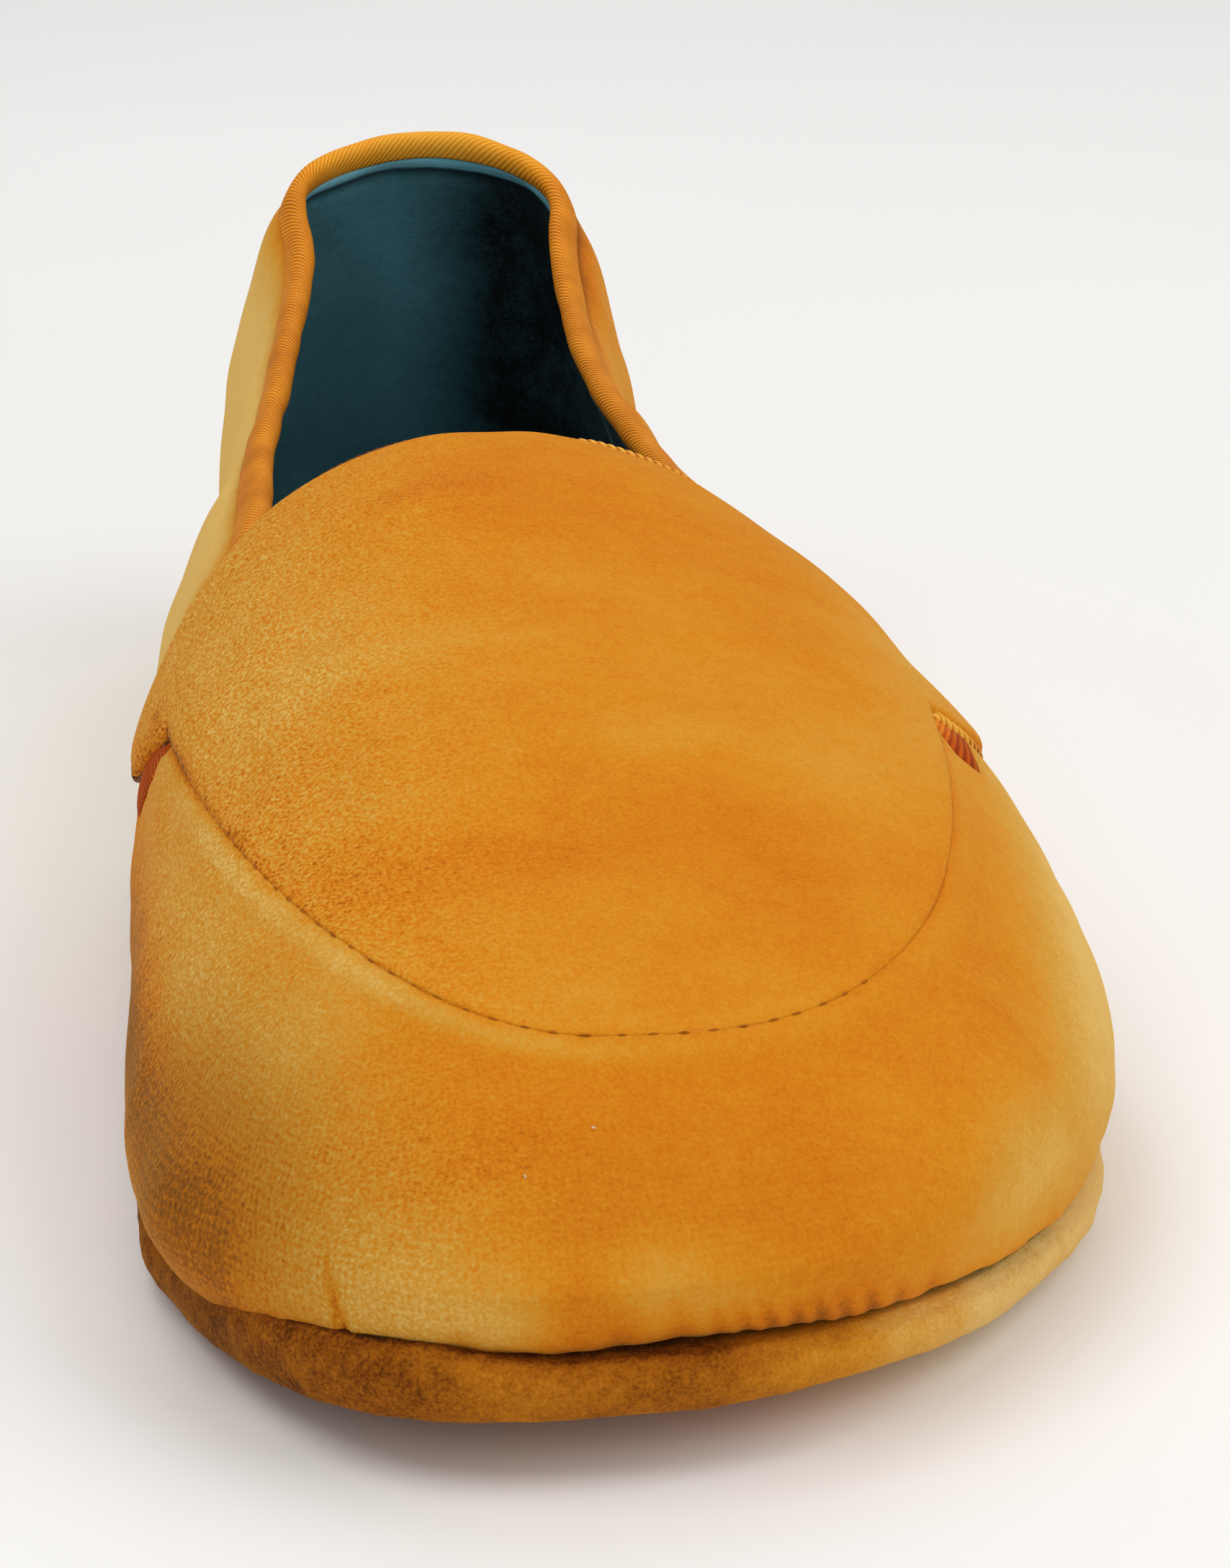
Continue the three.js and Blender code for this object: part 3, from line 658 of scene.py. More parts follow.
def apron_plan():
    loop = joined(SEAM, FREE_EDGE[1:], SEAM[1:])
    corners = [int(part * SEAM_POINTS) for part in SEAM_CORNERS]
    corners += [SEAM_POINTS - 1 + int(part * SEAM_POINTS) for part in EDGE_CORNERS]
    corners.append(corners[0] + 2 * (SEAM_POINTS - 1))
    sides = [even_line(loop[a:b + 1], APRON_CELLS + 1) for a, b in zip(corners, corners[1:])]
    step = np.linspace(-1, 1, APRON_CELLS + 1)
    share = np.sign(step) * (1 - (1 - np.abs(step)) ** 1.25)
    a, b = np.meshgrid(step, step, indexing="ij")
    ring = np.maximum(np.maximum(np.abs(a), np.abs(b)), TINY)
    p, q = a / ring, b / ring
    edge = np.empty(a.shape + (2,))
    for axis in range(2):
        front, medial, back, lateral = (np.interp(at, step, side[:, axis])
                                        for at, side in zip((-p, -q, p, q), sides))
        ends = np.where(q > 0, front, back)
        flanks = np.where(p < 0, medial, lateral)
        edge[..., axis] = np.where(np.abs(q) >= np.abs(p), ends, flanks)
    centre = np.array(APRON_CENTRE)
    return centre + (edge - centre) * np.interp(ring, step, share)[..., None]


def apron_relief(x, u, ground):
    relief = uneven(ground, APRON_UNEVEN)
    for px, pu, length, width, height, degrees in APRON_FOLDS:
        cosine, sine = heading(degrees)
        along = (x - px) * cosine + (u - pu) * sine
        across = (u - pu) * cosine - (x - px) * sine
        relief += height * hump(along, 0, length) * hump(across, 0, width)
    return relief


def rounded(share):
    return np.sqrt(1 - (1 - np.clip(share, 0, 1)) ** 2)


def build_apron(velvet, backing):
    plan = apron_plan()
    x, u = plan[..., 0], plan[..., 1]
    seam_gap, seam_at = nearest(plan, SEAM)
    edge_gap = nearest(plan, FREE_EDGE)[0]
    ground, normal = surface(x, u), normal_at(x, u)
    thick = FLAP_THICKNESS + (SEAM_THICKNESS - FLAP_THICKNESS) * ease(u, THICK_TO, THIN_FROM)
    wing = wing_lift(x, u)
    under = APRON_GAP * np.clip(seam_gap / 3.0, 0, 1) + wing
    full = APRON_GAP + thick + wing + apron_relief(x, u, ground)
    front, medial = SEAM_FRONT[seam_at], SEAM_MEDIAL[seam_at]
    low = SEAM_LOW[seam_at]
    over = low + (full - low) * rounded(seam_gap / (SEAM_ROUND + MEDIAL_ROUND * medial))
    free = edge_gap < seam_gap
    over = np.where(free, under + (over - under) * (0.3 + 0.7 * rounded(edge_gap / EDGE_ROUND)), over)
    under = np.minimum(under, over - 0.03)
    top = ground + normal * over[..., None]
    bottom = ground + normal * under[..., None]
    # Painted shade in the seam's groove and along the flap's free edge, painted highlight on the seam's
    # front ridge
    nap_and_light = patches(ground, APRON_PILE_AND_LIGHT) - (SEAM_SHADE[seam_at] + 0.02) * hump(seam_gap, 0, 0.6)
    nap_and_light += 0.03 * front * hump(seam_gap, 1.5, 1.0) - np.where(free, 0.22 * np.exp(-edge_gap / 0.5), 0)
    count = x.size
    faces = grid_faces(*x.shape, False)
    number = np.arange(count).reshape(x.shape)
    loop = joined(number[0], number[1:, -1], number[-1, -2::-1], number[-2:0:-1, 0])
    after = np.roll(loop, -1)
    wall = np.stack([after, loop, loop + count, after + count], -1)
    slots = np.repeat([0, 1, 0], [len(faces), len(faces), len(wall)])
    masks = {"nap_and_light": nap_and_light, "mottle": hump(x, -36, 22)}
    all_faces = joined(faces, faces[:, ::-1] + count, wall)
    points = joined(top, bottom)
    piece = mesh_piece("apron_pile", points, all_faces, [velvet, backing], masks, slots)
    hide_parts("apron")


# Tubes: closed sections swept along frames of position, side and up
def sweep(positions, sides, ups, section):
    grid = positions[:, None] + sides[:, None] * section[..., :1] + ups[:, None] * section[..., 1:]
    rows, columns = grid.shape[:2]
    faces = grid_faces(rows, columns)
    points = joined(grid.reshape(-1, 3), grid[:1].mean(1), grid[-1:].mean(1))
    centre = rows * columns
    ring = np.arange(columns)
    nxt = np.roll(ring, -1)
    end = (rows - 1) * columns
    start_cap = np.stack([np.full(columns, centre), ring, nxt, nxt], -1)
    end_cap = np.stack([np.full(columns, centre + 1), end + nxt, end + ring, end + ring], -1)
    return points, joined(faces, start_cap, end_cap)


def turn(sides):
    return np.linspace(0, 2 * np.pi, sides, endpoint=False)


def edge_frames(x, u, lift, outward):
    normal = normal_at(x, u)
    positions = surface(x, u) + normal * lift[:, None]
    side = unit(np.cross(normal, np.gradient(positions, axis=0)))
    return positions + side * outward, side, normal


# Flap edge: a fine twisted cord, stouter at the lateral notch
ROPE_RADIUS, ROPE_PITCH, ROPE_SIDES, ROPE_POINTS = 0.6, 2.3, 16, 1300


def build_flap_rope(material):
    x, u = even_line(FREE_EDGE, ROPE_POINTS).T
    throat = ease(x, 4, 12) * (1 - ease(x, 20, 28))
    left = 1 - ease(x, -8, 6)
    notch = ease(u, 166, 176) * ease(x, 40, 46)
    tucked = ease(u, 158, 166) * ease(-x, 34, 39)
    lift = 0.9 + 1.1 * throat + 0.7 * left - 0.9 * tucked + wing_lift(x, u)
    positions, side, normal = edge_frames(x, u, lift, 0.3)
    length = line_length(positions)
    angle = turn(ROPE_SIDES)
    strand = np.abs(np.cos(angle - (2 * np.pi * length / ROPE_PITCH)[:, None]))
    to_end = length[-1] - length
    stout = 0.8 + 0.5 * ease(14 - to_end, 0, 7) - 0.25 * left
    taper = np.clip(np.minimum(length, to_end) / 1.2, 0.3, 1)
    radius = ROPE_RADIUS * (0.78 + 0.30 * strand) * (stout * taper)[:, None]
    section = np.stack([np.cos(angle) * radius, np.sin(angle) * radius], -1)
    points, faces = sweep(positions, side, normal, section)
    # Painted light along the cord: highlight at the throat and near the lateral notch, shade on its medial
    # half
    painted_cord_light = 0.20 * throat + 0.35 * notch * ease(12 - to_end, 2, 8) - 0.45 * left - 0.1
    masks = {"strand": joined(strand.ravel(), (0.5, 0.5)),
             "light_and_shade": np.repeat(painted_cord_light, ROPE_SIDES)}
    piece = mesh_piece("flap_rope", points, faces, [material], masks)
    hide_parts("flap_binding")


# Gussets: ribbed elastic lying in the two notches
RIB_PITCH, GUSSET_SIDES, GUSSET_POINTS = 0.8, 20, 160


def build_gussets(material):
    for name, rows in GUSSETS.items():
        x, u, half, lift = spline_line(rows, GUSSET_POINTS).T
        positions, side, normal = edge_frames(x, u, lift, 0.0)
        run = line_length(positions)
        angle = turn(GUSSET_SIDES)
        rib = 0.5 + 0.5 * np.cos(2 * np.pi * (run[:, None] / RIB_PITCH + 0.6 * np.cos(angle)))
        wide = np.outer(half + 0.5, np.cos(angle))
        high = np.outer(0.35 + 0.16 * half, np.sin(angle)) * (0.85 + 0.15 * rib)
        points, faces = sweep(positions, side, normal, np.stack([wide, high], -1))
        # Painted light on the lateral gusset, a highlight that fades from its start to its tip; a little
        # painted shade on both
        light_and_shade = 0.5 * (1 - ease(run / run[-1], 0.1, 0.6)) * (name == "lateral") - 0.06
        masks = {"strand": joined(0.25 + 0.5 * rib.ravel(), (0.5, 0.5)),
                 "light_and_shade": np.repeat(light_and_shade, GUSSET_SIDES)}
        piece = mesh_piece("gusset_" + name, points, faces, [material], masks)


# Collar tape: folded over the wall's edge, narrower where the flap covers it
TAPE_END, TAPE_WIDE, COVERED_WIDE, COVERED_FROM, COVERED_TO = 151.5, 3.6, 2.4, 138.0, 147.0
TAPE_SECTION = np.array([
    (1.2, -1.1), (1.42, -1.05), (1.58, 0), (1.62, 1), (1.5, 1.8), (1.12, 2.5), (0.6, 2.87),
    (0, 2.98), (-0.6, 2.87), (-1.12, 2.5), (-1.5, 1.8), (-1.62, 1), (-1.58, 0.3), (-1.45, -0.2),
    (-1.25, -0.25), (-1.2, 0.2), (-1.1, 0.5), (0, 0.6), (1.1, 0.5), (1.2, 0),
])
TAPE_POINTS, TAPE_SIDES = 700, 40


def build_collar_tape(material):
    angle = collar_angles(-WALL / 2)
    spot = dome_ring(angle, -WALL / 2)
    up = unit(dome_ring(angle + 1, -WALL / 2) - dome_ring(angle - 1, -WALL / 2))
    normal = dome_ring(angle, 0.0) - spot
    normal = unit(normal - up * (normal * up).sum(-1, keepdims=True))
    order = np.roll(np.arange(len(angle)), -(BODY_COLUMNS + TOE_COLUMNS // 2))
    order = order[((angle < WHOLE_ANGLE) & (-spot[:, 1] <= TAPE_END))[order]]
    line = np.concatenate([broaden(spot), normal, up], 1)[order]
    at = np.linspace(0, line_length(line[:, :3])[-1], TAPE_POINTS)
    line = even_line(line, TAPE_POINTS, 3)
    positions, side, rise = line[:, :3], unit(line[:, 3:6]), unit(line[:, 6:])
    u = -positions[:, 1]
    profile = spline_line(joined(TAPE_SECTION, TAPE_SECTION[:1]), TAPE_SIDES + 1)[:-1]
    narrow = 1 - (1 - COVERED_WIDE / TAPE_WIDE) * ease(u, COVERED_FROM, COVERED_TO)
    wave = 1 + 0.03 * waves(positions, 9.0, 41)
    tall = wave * (1.1 - 0.1 * ease(u, 4, 28))
    section = profile * np.stack([narrow * wave, tall], -1)[:, None]
    points, faces = sweep(positions, side, rise, section)
    around = line_length(joined(profile, profile[:1]))[:-1]
    masks = {"run": joined(np.repeat(at, TAPE_SIDES), (at[0], at[-1])),
             "over": np.tile(around, TAPE_POINTS),
             # Painted light: lighter towards the heel
             "heel": np.repeat(1 - ease(u, 6, 26), TAPE_SIDES)}
    piece = mesh_piece("collar_tape", points, faces, [material], masks)
    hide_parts("collar_binding")


# Sole and insole: rings of the widest line, drawn in
ARCH_FROM, ARCH_TO, ARCH_RISE = 82.0, 158.0, 2.4
SOLE_RIM = np.array([(2.9, 0), (1.4, 0.8), (0.4, 2.6), (0.6, 4.4), (2.5, SOLE_TOP)])
SOLE_SHARES, SOLE_TOP_SHARES, SOLE_ROWS = (0, 0.3, 0.6, 0.85), (0.85, 0.5, 0), 30
# The wrap stands high and out at the medial side of the toe, and close at the lateral side
LIP_LEDGE, LIP_RISE, SIDE_TRIM, CORNER = 0.7, 2.4, 1.2, 1.6
SOLE_UNEVEN = ((0.14, 26, 15), (0.05, 6, 17), (0.03, 2.2, 19))
# Share of the rim where painted shade darkens it towards the vamp
CREVICE_SHADE = (0.84, 1.06)


def sole_level(z):
    def level(u):
        share = np.clip((u - ARCH_FROM) / (ARCH_TO - ARCH_FROM), 0, 1)
        return z + spring(u) + ARCH_RISE * np.sin(np.pi * share) ** 2 * (1 - z / SOLE_TOP)
    return level


def build_sole(material):
    rim = spline_line(SOLE_RIM, SOLE_ROWS)
    rings = [share_ring(share, sole_level(0.0)) for share in SOLE_SHARES]
    lip = ease(-RIM_X, 2, 18) * ease(RIM_U, 232, 250)
    trim = ease(RIM_X, 8, 28) * ease(RIM_U, 236, 254)
    corner = hump(RIM_U, 231, 9) * ease(-RIM_X, 10, 25)
    inward = sole_inset(RIM_U) - LIP_LEDGE * lip - CORNER * corner + SIDE_TRIM * trim
    for inset, z in rim:
        ring = inset_ring(inset + inward, sole_level(z))
        ring[:, 2] += LIP_RISE * lip * ease(z, 0.5, SOLE_TOP)
        rings.append(ring)
    rings += [share_ring(share, sole_level(SOLE_TOP)) for share in SOLE_TOP_SHARES]
    grid = np.array(rings)
    rim_rows = slice(len(SOLE_SHARES), -len(SOLE_TOP_SHARES))
    moved = grid + grid_normals(grid) * uneven(grid, SOLE_UNEVEN)[..., None]
    grid[rim_rows] = moved[rim_rows]
    grid[..., 2] = np.maximum(grid[..., 2], 0.0)
    # Painted light and shade: lighter on the sole's lateral side, darker on its medial side
    side_light = 0.70 * ease(RIM_X, 10, 45) - 0.14 * ease(-RIM_X, 0, 30)
    row_share = (np.arange(len(grid)) - len(SOLE_SHARES)) / len(rim)
    crevice_shade = np.outer(ease(row_share, *CREVICE_SHADE), 1 - 0.6 * ease(RIM_X, 0, 30))
    masks = {"round": np.broadcast_to(RIM_ARC, grid.shape[:2]), "nap_and_light": side_light - 0.3 * crevice_shade}
    piece = mesh_piece("sole_wrap", grid, grid_faces(*grid.shape[:2]), [material], masks)
    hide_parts("sole")


def build_insole(material):
    edge = bulge(RIM_U) + WALL + INSOLE_PLAY

    def level(rise):
        return lambda u: SOLE_TOP + GAP + spring(u) + rise
    top = level(INSOLE_THICKNESS)
    rings = [share_ring(0, level(0)), inset_ring(edge + 0.4, level(0)), inset_ring(edge, level(0.5)),
             inset_ring(edge, level(INSOLE_THICKNESS - 0.6)), inset_ring(edge + 0.6, top)]
    grid = np.array(rings + [share_ring(share, top) for share in INSOLE_SHARES])
    inner = grid[len(rings):]
    inner[..., 2] += 0.15 * waves(inner, 24.0, 23)
    piece = mesh_piece("insole_board", grid, grid_faces(*grid.shape[:2]), [material])
    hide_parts("insole")


# Short rounded threads, joined into one mesh
THREAD_POINTS = 7


def threads(name, lines, radius, material, sides=6):
    points, faces = [], []
    for line, up in lines:
        along = unit(np.gradient(line, axis=0))
        side = unit(np.cross(along, up))
        rise = np.cross(side, along)
        share = np.linspace(-1, 1, len(line))
        width = radius * np.sqrt(np.clip(1 - share**4, 0.02, 1))
        angle = turn(sides)
        section = np.stack([np.outer(width, np.cos(angle)), np.outer(width, np.sin(angle))], -1)
        tube_points, tube_faces = sweep(line, side, rise, section)
        faces.append(tube_faces + sum(map(len, points)))
        points.append(tube_points)
    piece = mesh_piece(name, joined(*points), joined(*faces), [material])


# Stitches of the U seam, half sunk in the pile
STITCH_PITCH, STITCH_LENGTH, STITCH_RADIUS = 3.0, 1.3, 0.12
STITCH_FROM, STITCH_END = 0.34, 6.0


def build_stitches(material):
    seam = even_line(SEAM, 2000)
    length = line_length(surface(*seam.T))
    low = np.interp(np.linspace(0, 1, len(seam)), SEAM_SHARE, SEAM_LOW)
    rng = np.random.default_rng(61)
    lines = []
    for start in np.arange(STITCH_FROM * length[-1], length[-1] - STITCH_END, STITCH_PITCH):
        middle = start + rng.uniform(-0.25, 0.25)
        span = STITCH_LENGTH * rng.uniform(0.75, 1.1)
        at = np.linspace(middle - span / 2, middle + span / 2, THREAD_POINTS)
        x, u = (np.interp(at, length, values) for values in seam.T)
        ground, normal = surface(x, u), normal_at(x, u)
        arch = np.cos(np.linspace(-np.pi, np.pi, THREAD_POINTS))
        drop = np.interp(at, length, low) + 0.08 * arch - 0.02
        lines.append((ground + normal * drop[:, None], normal))
    threads("seam_stitches", lines, STITCH_RADIUS, material)


# Lint on the pile: x, u, heading in degrees, length
LINT = ((0.7, 260.9, 20, 0.45), (-5.8, 265, 80, 0.4))
LINT_RADIUS, LINT_LIFT = 0.1, 0.25


def build_lint(material):
    lines = []
    for x, u, degrees, span in LINT:
        t = np.linspace(-span / 2, span / 2, THREAD_POINTS)
        cosine, sine = heading(degrees)
        px, pu = x + t * cosine, u + t * sine
        gap = nearest(np.array([(x, u)]), SEAM)[0][0]
        lift = LINT_LIFT + SEAM_RISE * math.exp(-gap / SEAM_SWELL)
        normal = normal_at(px, pu)
        lines.append((surface(px, pu) + normal * lift, normal))
    threads("lint", lines, LINT_RADIUS, material)


# A screen colour, 0 to 255, as linear shares
def tint(*screen):
    shares = [value / 255 for value in screen]
    return tuple(v / 12.92 if v <= 0.04045 else ((v + 0.055) / 1.055) ** 2.4 for v in shares)


# Materials: a small builder for node graphs round one Principled shader
class Graph:
    def __init__(self, name):
        self.material = bpy.data.materials.new(name)
        self.material.use_nodes = True
        self.nodes = self.material.node_tree.nodes
        self.links = self.material.node_tree.links
        self.shader = self.nodes["Principled BSDF"]
        self.place = self.node("TexCoord").outputs["Object"]
        self.relief = None

    def feed(self, socket, value):
        if isinstance(value, bpy.types.NodeSocket):
            self.links.new(value, socket)
        elif isinstance(value, tuple) and socket.type == "RGBA":
            socket.default_value = (*value, 1.0)
        else:
            socket.default_value = value

    def fill(self, node, values):
        for name, value in values.items():
            self.feed(node.inputs[name.replace("_", " ")], value)
        return node

    def set(self, **values):
        self.fill(self.shader, values)

    def node(self, kind, **values):
        return self.fill(self.nodes.new("ShaderNode" + kind), values)

    def math(self, operation, *values):
        node = self.node("Math")
        node.operation = operation
        for socket, value in zip(node.inputs, values):
            self.feed(socket, value)
        return node.outputs[0]

    def times(self, value, factor):
        return self.math("MULTIPLY", value, factor)

    def noise(self, size, detail=2.0, rough=0.5, stretch=(1.0, 1.0, 1.0), warp=0.0):
        mapping = self.node("Mapping", Vector=self.place, Scale=stretch)
        node = self.node("TexNoise", Vector=mapping.outputs["Vector"], Scale=1 / (size * MM),
                         Detail=detail, Roughness=rough, Distortion=warp)
        return node.outputs["Fac"]

    def coat(self, colour, roughness, highlight=0.15):
        self.set(Base_Color=colour, Roughness=roughness, Specular_IOR_Level=highlight)

    def sheen(self, weight, roughness, *colour):
        self.set(Sheen_Weight=weight, Sheen_Roughness=roughness, Sheen_Tint=tint(*colour))

    # A noise centred on zero, times a weight
    def vary(self, noise, weight):
        return self.times(self.math("SUBTRACT", noise, 0.5), weight)

    def total(self, *values):
        result = values[0]
        for value in values[1:]:
            result = self.math("ADD", result, value)
        return result

    def mask(self, name):
        node = self.node("Attribute")
        node.attribute_name = name
        return node.outputs["Fac"]

    # A ripple with a pitch in millimetres
    def ripple(self, coordinate, pitch):
        return self.math("SINE", self.times(coordinate, 2 * math.pi / pitch))

    # Each stop is a position with a screen colour, or with one plain level
    def colours(self, factor, *stops):
        node = self.node("ValToRGB", Fac=factor)
        elements = node.color_ramp.elements
        while len(elements) < len(stops):
            elements.new(0.5)
        for element, (position, *colour) in zip(elements, stops):
            element.position = position
            element.color = (*(tint(*colour) if len(colour) == 3 else colour * 3), 1.0)
        return node.outputs["Color"]

    def blend(self, factor, a, b):
        node = self.node("Mix")
        node.data_type = "RGBA"
        for index, value in ((0, factor), (6, a), (7, b)):
            self.feed(node.inputs[index], value)
        return node.outputs[2]

    # Each bump lies on the one before it
    def bump(self, height, strength, depth):
        node = self.node("Bump", Strength=strength, Distance=depth * MM, Height=height)
        if self.relief is not None:
            self.feed(node.inputs["Normal"], self.relief)
        self.relief = node.outputs["Normal"]
        self.set(Normal=self.relief)


def velvet_material(name, base):
    g = Graph(name)
    blotch = g.noise(16, 3, 0.55, warp=0.5)
    streak = g.noise(5, 2, 0.55, stretch=(0.35, 1, 1))
    tuft = g.noise(1.5, 2, 0.6)
    grain = g.noise(0.42, 1, 0.6)
    weave_and_shade = g.mask("weave_and_shade")
    lines = g.ripple(g.total(g.mask("climb"), tuft), 0.95)
    files = g.ripple(g.total(g.mask("round"), tuft), 0.85)
    cloth = g.times(g.times(g.total(lines, files), 0.5), weave_and_shade)
    speck = g.math("MULTIPLY_ADD", g.mask("mottle"), 1.2, 0.26)
    # The level takes the mask's brushed pile and its painted light and shade
    level = g.total(base, g.mask("nap_and_light"), g.vary(blotch, 0.2), g.vary(streak, 0.12), g.vary(tuft, 0.14),
                    g.vary(grain, speck), g.times(cloth, 0.1))
    pile = g.colours(level, (0, 96, 48, 6), (0.24, 160, 86, 10), (0.42, 208, 116, 6),
                     (0.58, 216, 138, 24), (0.76, 216, 158, 58), (1, 230, 188, 102))
    # Where the weave rows show, painted shade blends the colour toward olive brown
    g.coat(g.blend(g.times(weave_and_shade, 0.42), pile, tint(116, 82, 22)), 0.92)
    g.sheen(0.28, 0.34, 255, 204, 104)
    g.bump(tuft, 0.45, 0.45)
    g.bump(cloth, 0.15, 0.1)
    g.bump(grain, 0.5, 0.16)
    return g.material


# A pale band of painted sheen, on the lining's folded top edge, runs below the tape at the heel, over the
# first quarter of this depth
BAND_SCALE = 8.0


def lining_material():
    g = Graph("lining_velvet")
    cloud = g.noise(13, 3, 0.55, warp=0.6)
    tuft = g.noise(2.2, 2, 0.6)
    grain = g.noise(0.5, 1, 0.6)
    # The mask's painted shade darkens the lining towards its lateral side, down to near black
    level = g.total(0.46, g.mask("nap_and_light"), g.vary(cloud, 0.22), g.vary(tuft, 0.12), g.vary(grain, 0.12))
    dark = g.colours(level, (0, 6, 12, 14), (0.5, 66, 118, 130), (0.95, 100, 160, 172))
    light = g.colours(level, (0.2, 96, 158, 176), (0.8, 128, 192, 208))
    edge = g.times(g.math("MULTIPLY_ADD", g.noise(4), 0.8, g.mask("depth")), 1 / BAND_SCALE)
    heel = g.mask("heel")
    sheen_band = g.colours(edge, (0.24, 1), (0.31, 0))
    seam = g.colours(edge, (0.25, 0), (0.33, 0.75), (0.5, 0))
    cloth = g.blend(g.times(sheen_band, heel), dark, light)
    shaded = g.blend(g.times(seam, heel), cloth, tint(6, 14, 17))
    g.coat(shaded, 0.9)
    g.sheen(0.25, 0.4, 120, 170, 180)
    g.bump(tuft, 0.4, 0.5)
    g.bump(grain, 0.4, 0.15)
    return g.material


def suede_material():
    g = Graph("suede")
    cloud = g.noise(11, 3, 0.6, warp=0.4)
    tuft = g.noise(1.6, 2, 0.6)
    grain = g.noise(0.36, 1, 0.6)
    files = g.ripple(g.total(g.mask("round"), g.times(tuft, 0.8)), 0.85)
    # The level takes the mask's painted light and shade of the sole's sides and of the rim by the vamp
    level = g.total(0.31, g.mask("nap_and_light"), g.vary(cloud, 0.5), g.vary(tuft, 0.26), g.vary(grain, 0.36),
                    g.times(files, 0.008))
    colour = g.colours(level, (0, 56, 27, 4), (0.1, 110, 55, 5), (0.3, 168, 98, 16),
                       (0.55, 204, 134, 30), (0.8, 214, 160, 72), (1, 226, 186, 112))
    g.coat(colour, 0.95, 0.1)
    g.sheen(0.12, 0.4, 255, 204, 110)
    g.bump(tuft, 0.4, 0.4)
    g.bump(files, 0.1, 0.06)
    g.bump(grain, 0.5, 0.16)
    return g.material


def tape_material():
    g = Graph("twill_tape")
    slant = g.total(g.mask("run"), g.mask("over"), g.times(g.noise(2), 0.25))
    rib = g.math("MULTIPLY_ADD", g.ripple(slant, 0.95), 0.5, 0.5)
    cloud = g.noise(7, 2)
    fibre = g.noise(0.3, 1, 0.6)
    # Painted light makes the tape lighter towards the heel, where it lies in shade
    level = g.total(0.32, g.times(g.mask("heel"), 0.42), g.vary(rib, 0.42), g.vary(cloud, 0.4),
                    g.vary(fibre, 0.25))
    colour = g.colours(level, (0, 156, 80, 6), (0.4, 234, 140, 14), (0.95, 255, 190, 62))
    g.coat(colour, 0.7)
    g.sheen(0.03, 0.4, 255, 170, 50)
    g.bump(rib, 0.8, 0.14)
    g.bump(fibre, 0.3, 0.05)
    return g.material


# Twisted satin cord and ribbed elastic: painted highlight on the strands, painted shade between them, plus
# painted light and shade along each piece
def strand_material(name, low, middle, high, roughness):
    g = Graph(name)
    fibre = g.noise(0.22, 1, 0.6)
    cloud = g.noise(4, 2)
    level = g.total(g.times(g.mask("strand"), 0.6), g.vary(fibre, 0.3), g.vary(cloud, 0.3),
                    g.mask("light_and_shade"), 0.12)
    g.coat(g.colours(level, (0.1, *low), (0.45, *middle), (0.85, *high)), roughness, 0.12)
    g.bump(fibre, 0.4, 0.06)
    return g.material


def plain_material(name, dark, light, size, roughness):
    g = Graph(name)
    spread = g.noise(size * 8, 3, 0.6)
    grain = g.noise(size, 2, 0.6)
    level = g.total(0.5, g.vary(spread, 0.6), g.vary(grain, 0.5))
    g.coat(g.colours(level, (0.25, *dark), (0.75, *light)), roughness)
    g.bump(grain, 0.4, size * 0.4)
    return g.material


VELVET = velvet_material("velvet", 0.51)
APRON_VELVET = velvet_material("apron_velvet", 0.54)
LINING = lining_material()
CORD = strand_material("satin_cord", (96, 42, 4), (206, 122, 18), (246, 186, 70), 0.5)
ELASTIC = strand_material("rust_elastic", (112, 30, 2), (186, 78, 8), (236, 140, 34), 0.8)
THREAD = plain_material("brown_thread", (150, 84, 12), (184, 108, 20), 0.3, 0.8)
FIBRE = plain_material("pale_fibre", (196, 176, 150), (228, 212, 190), 0.3, 0.7)
BOARD = plain_material("insole_cloth", (12, 30, 36), (30, 60, 68), 1, 0.9)

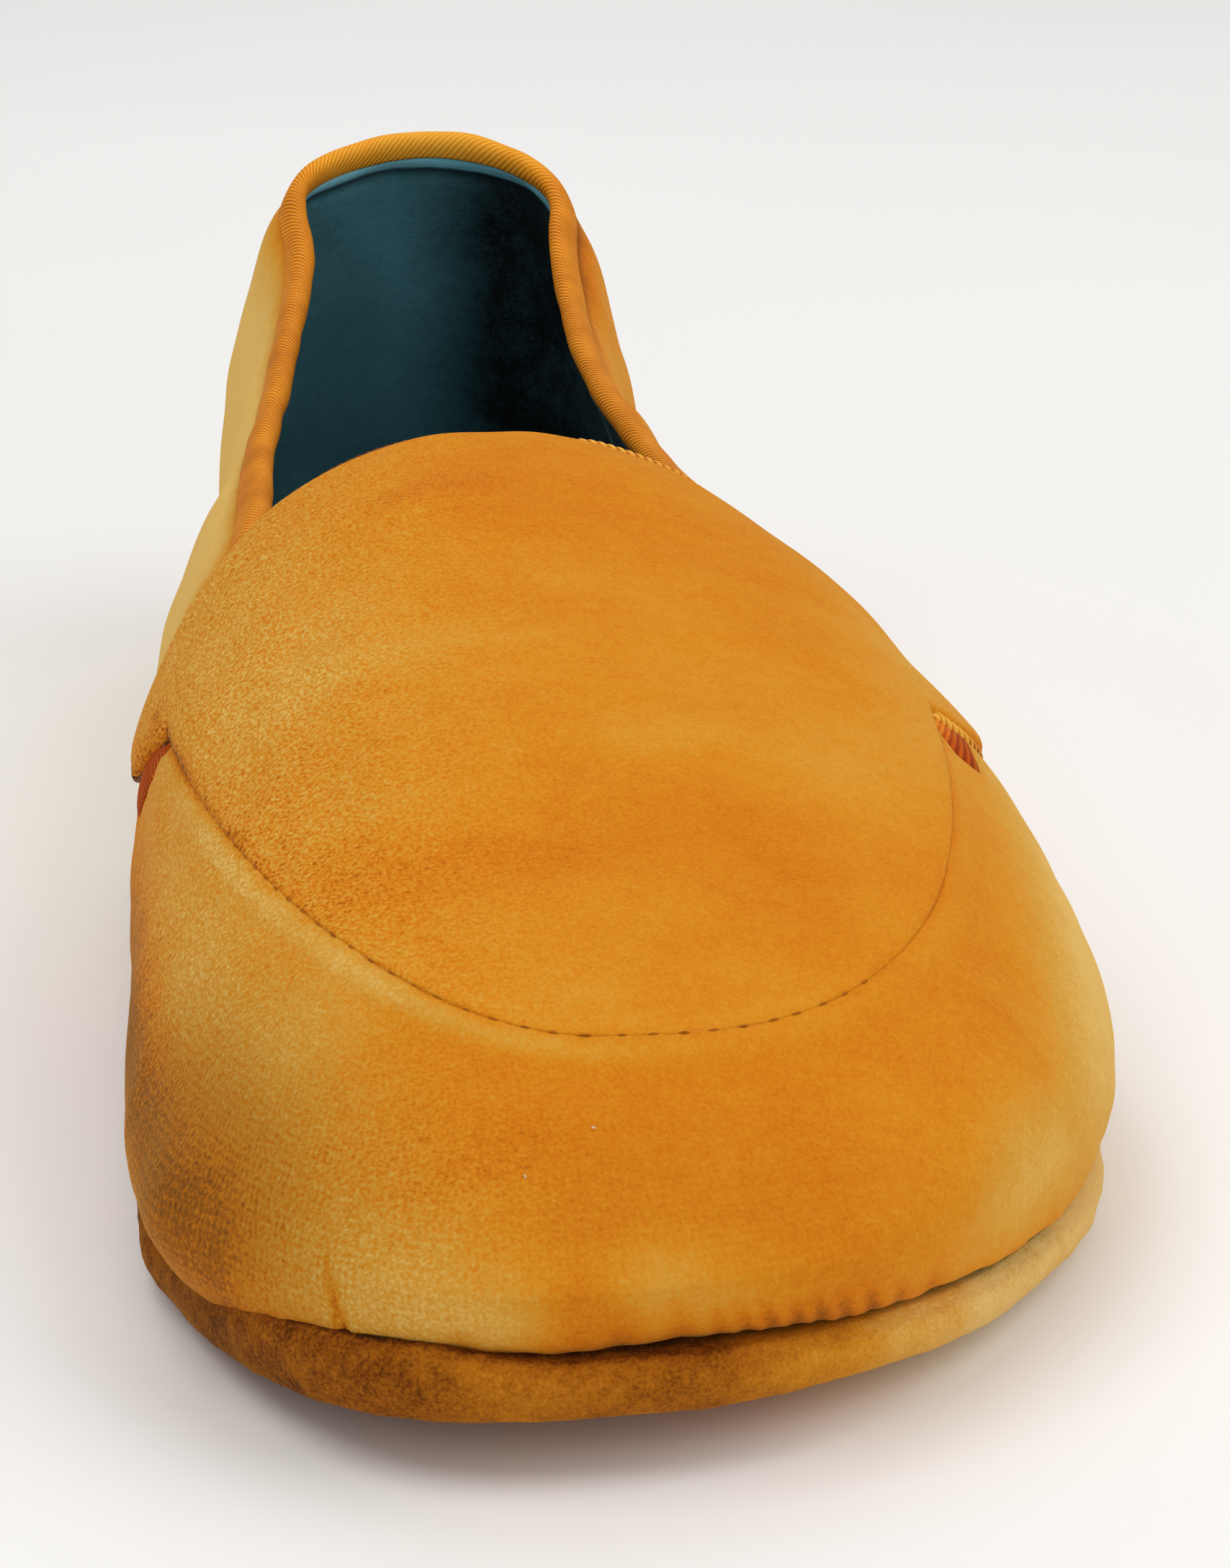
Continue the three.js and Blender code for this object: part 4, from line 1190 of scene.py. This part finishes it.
build_sole(suede_material())
build_insole(BOARD)
build_upper(VELVET, LINING)
build_apron(APRON_VELVET, LINING)
build_flap_rope(CORD)
build_gussets(ELASTIC)
build_collar_tape(tape_material())
build_stitches(THREAD)
build_lint(FIBRE)


# Stage: a pale floor, soft lights and the photo's viewpoint, placed in the shoe's plan
def aimed(data, name, spot_mm, target_mm):
    thing = add_object(name, data)
    thing.location = Vector(to_frame(spot_mm))
    view = Vector(to_frame(target_mm)) - thing.location
    thing.rotation_euler = view.to_track_quat("-Z", "Y").to_euler()
    return thing


def add_floor(reach=3):
    mesh = bpy.data.meshes.new("floor")
    mesh.from_pydata([(-reach, -reach, 0), (reach, -reach, 0), (reach, reach, 0), (-reach, reach, 0)],
                     [], [(0, 1, 2, 3)])
    g = Graph("floor")
    cloud = g.noise(300)
    g.set(Base_Color=g.colours(cloud, (0.3, 247, 247, 245.8), (0.7, 250.5, 250.5, 249.3)), Roughness=0.9)
    mesh.materials.append(g.material)
    floor = add_object("floor", mesh)


SKY_STRENGTH = 0.26
MIDDLE = (0, -160, 25)
# Lights: name, place, target, size, power, colour
LIGHTS = (
    ("key", (820, -430, 830), MIDDLE, 1.1, 4.9, (1, 0.98, 0.95)),
    ("fill", (-490, -300, 1105), MIDDLE, 0.9, 4.9, (1, 0.99, 0.97)),
    ("back", (100, 650, 900), (0, 450, 0), 1.2, 4.4, (1, 1, 1)),
    ("front", (-60, -950, 330), MIDDLE, 0.8, 1.8, (1, 0.98, 0.95)),
)
add_floor()
for name, spot_mm, target_mm, size, power, colour in LIGHTS:
    data = bpy.data.lights.new(name, "AREA")
    data.shape = "DISK"
    data.size, data.energy, data.color = size, power, colour
    aimed(data, name, spot_mm, target_mm)
camera = bpy.data.cameras.new("camera")
camera.lens, camera.sensor_width, camera.clip_start = 91.8, 36.0, 0.01
scene = bpy.context.scene
scene.camera = aimed(camera, "camera", (-44.31, -593.25, 179.2), (8.99, -184.45, 35.3))
scene.world = bpy.data.worlds.new("studio")
scene.world.use_nodes = True
sky = scene.world.node_tree.nodes["Background"].inputs
sky["Color"].default_value = (1, 1, 1, 1)
sky["Strength"].default_value = SKY_STRENGTH
scene.view_settings.view_transform = "Standard"
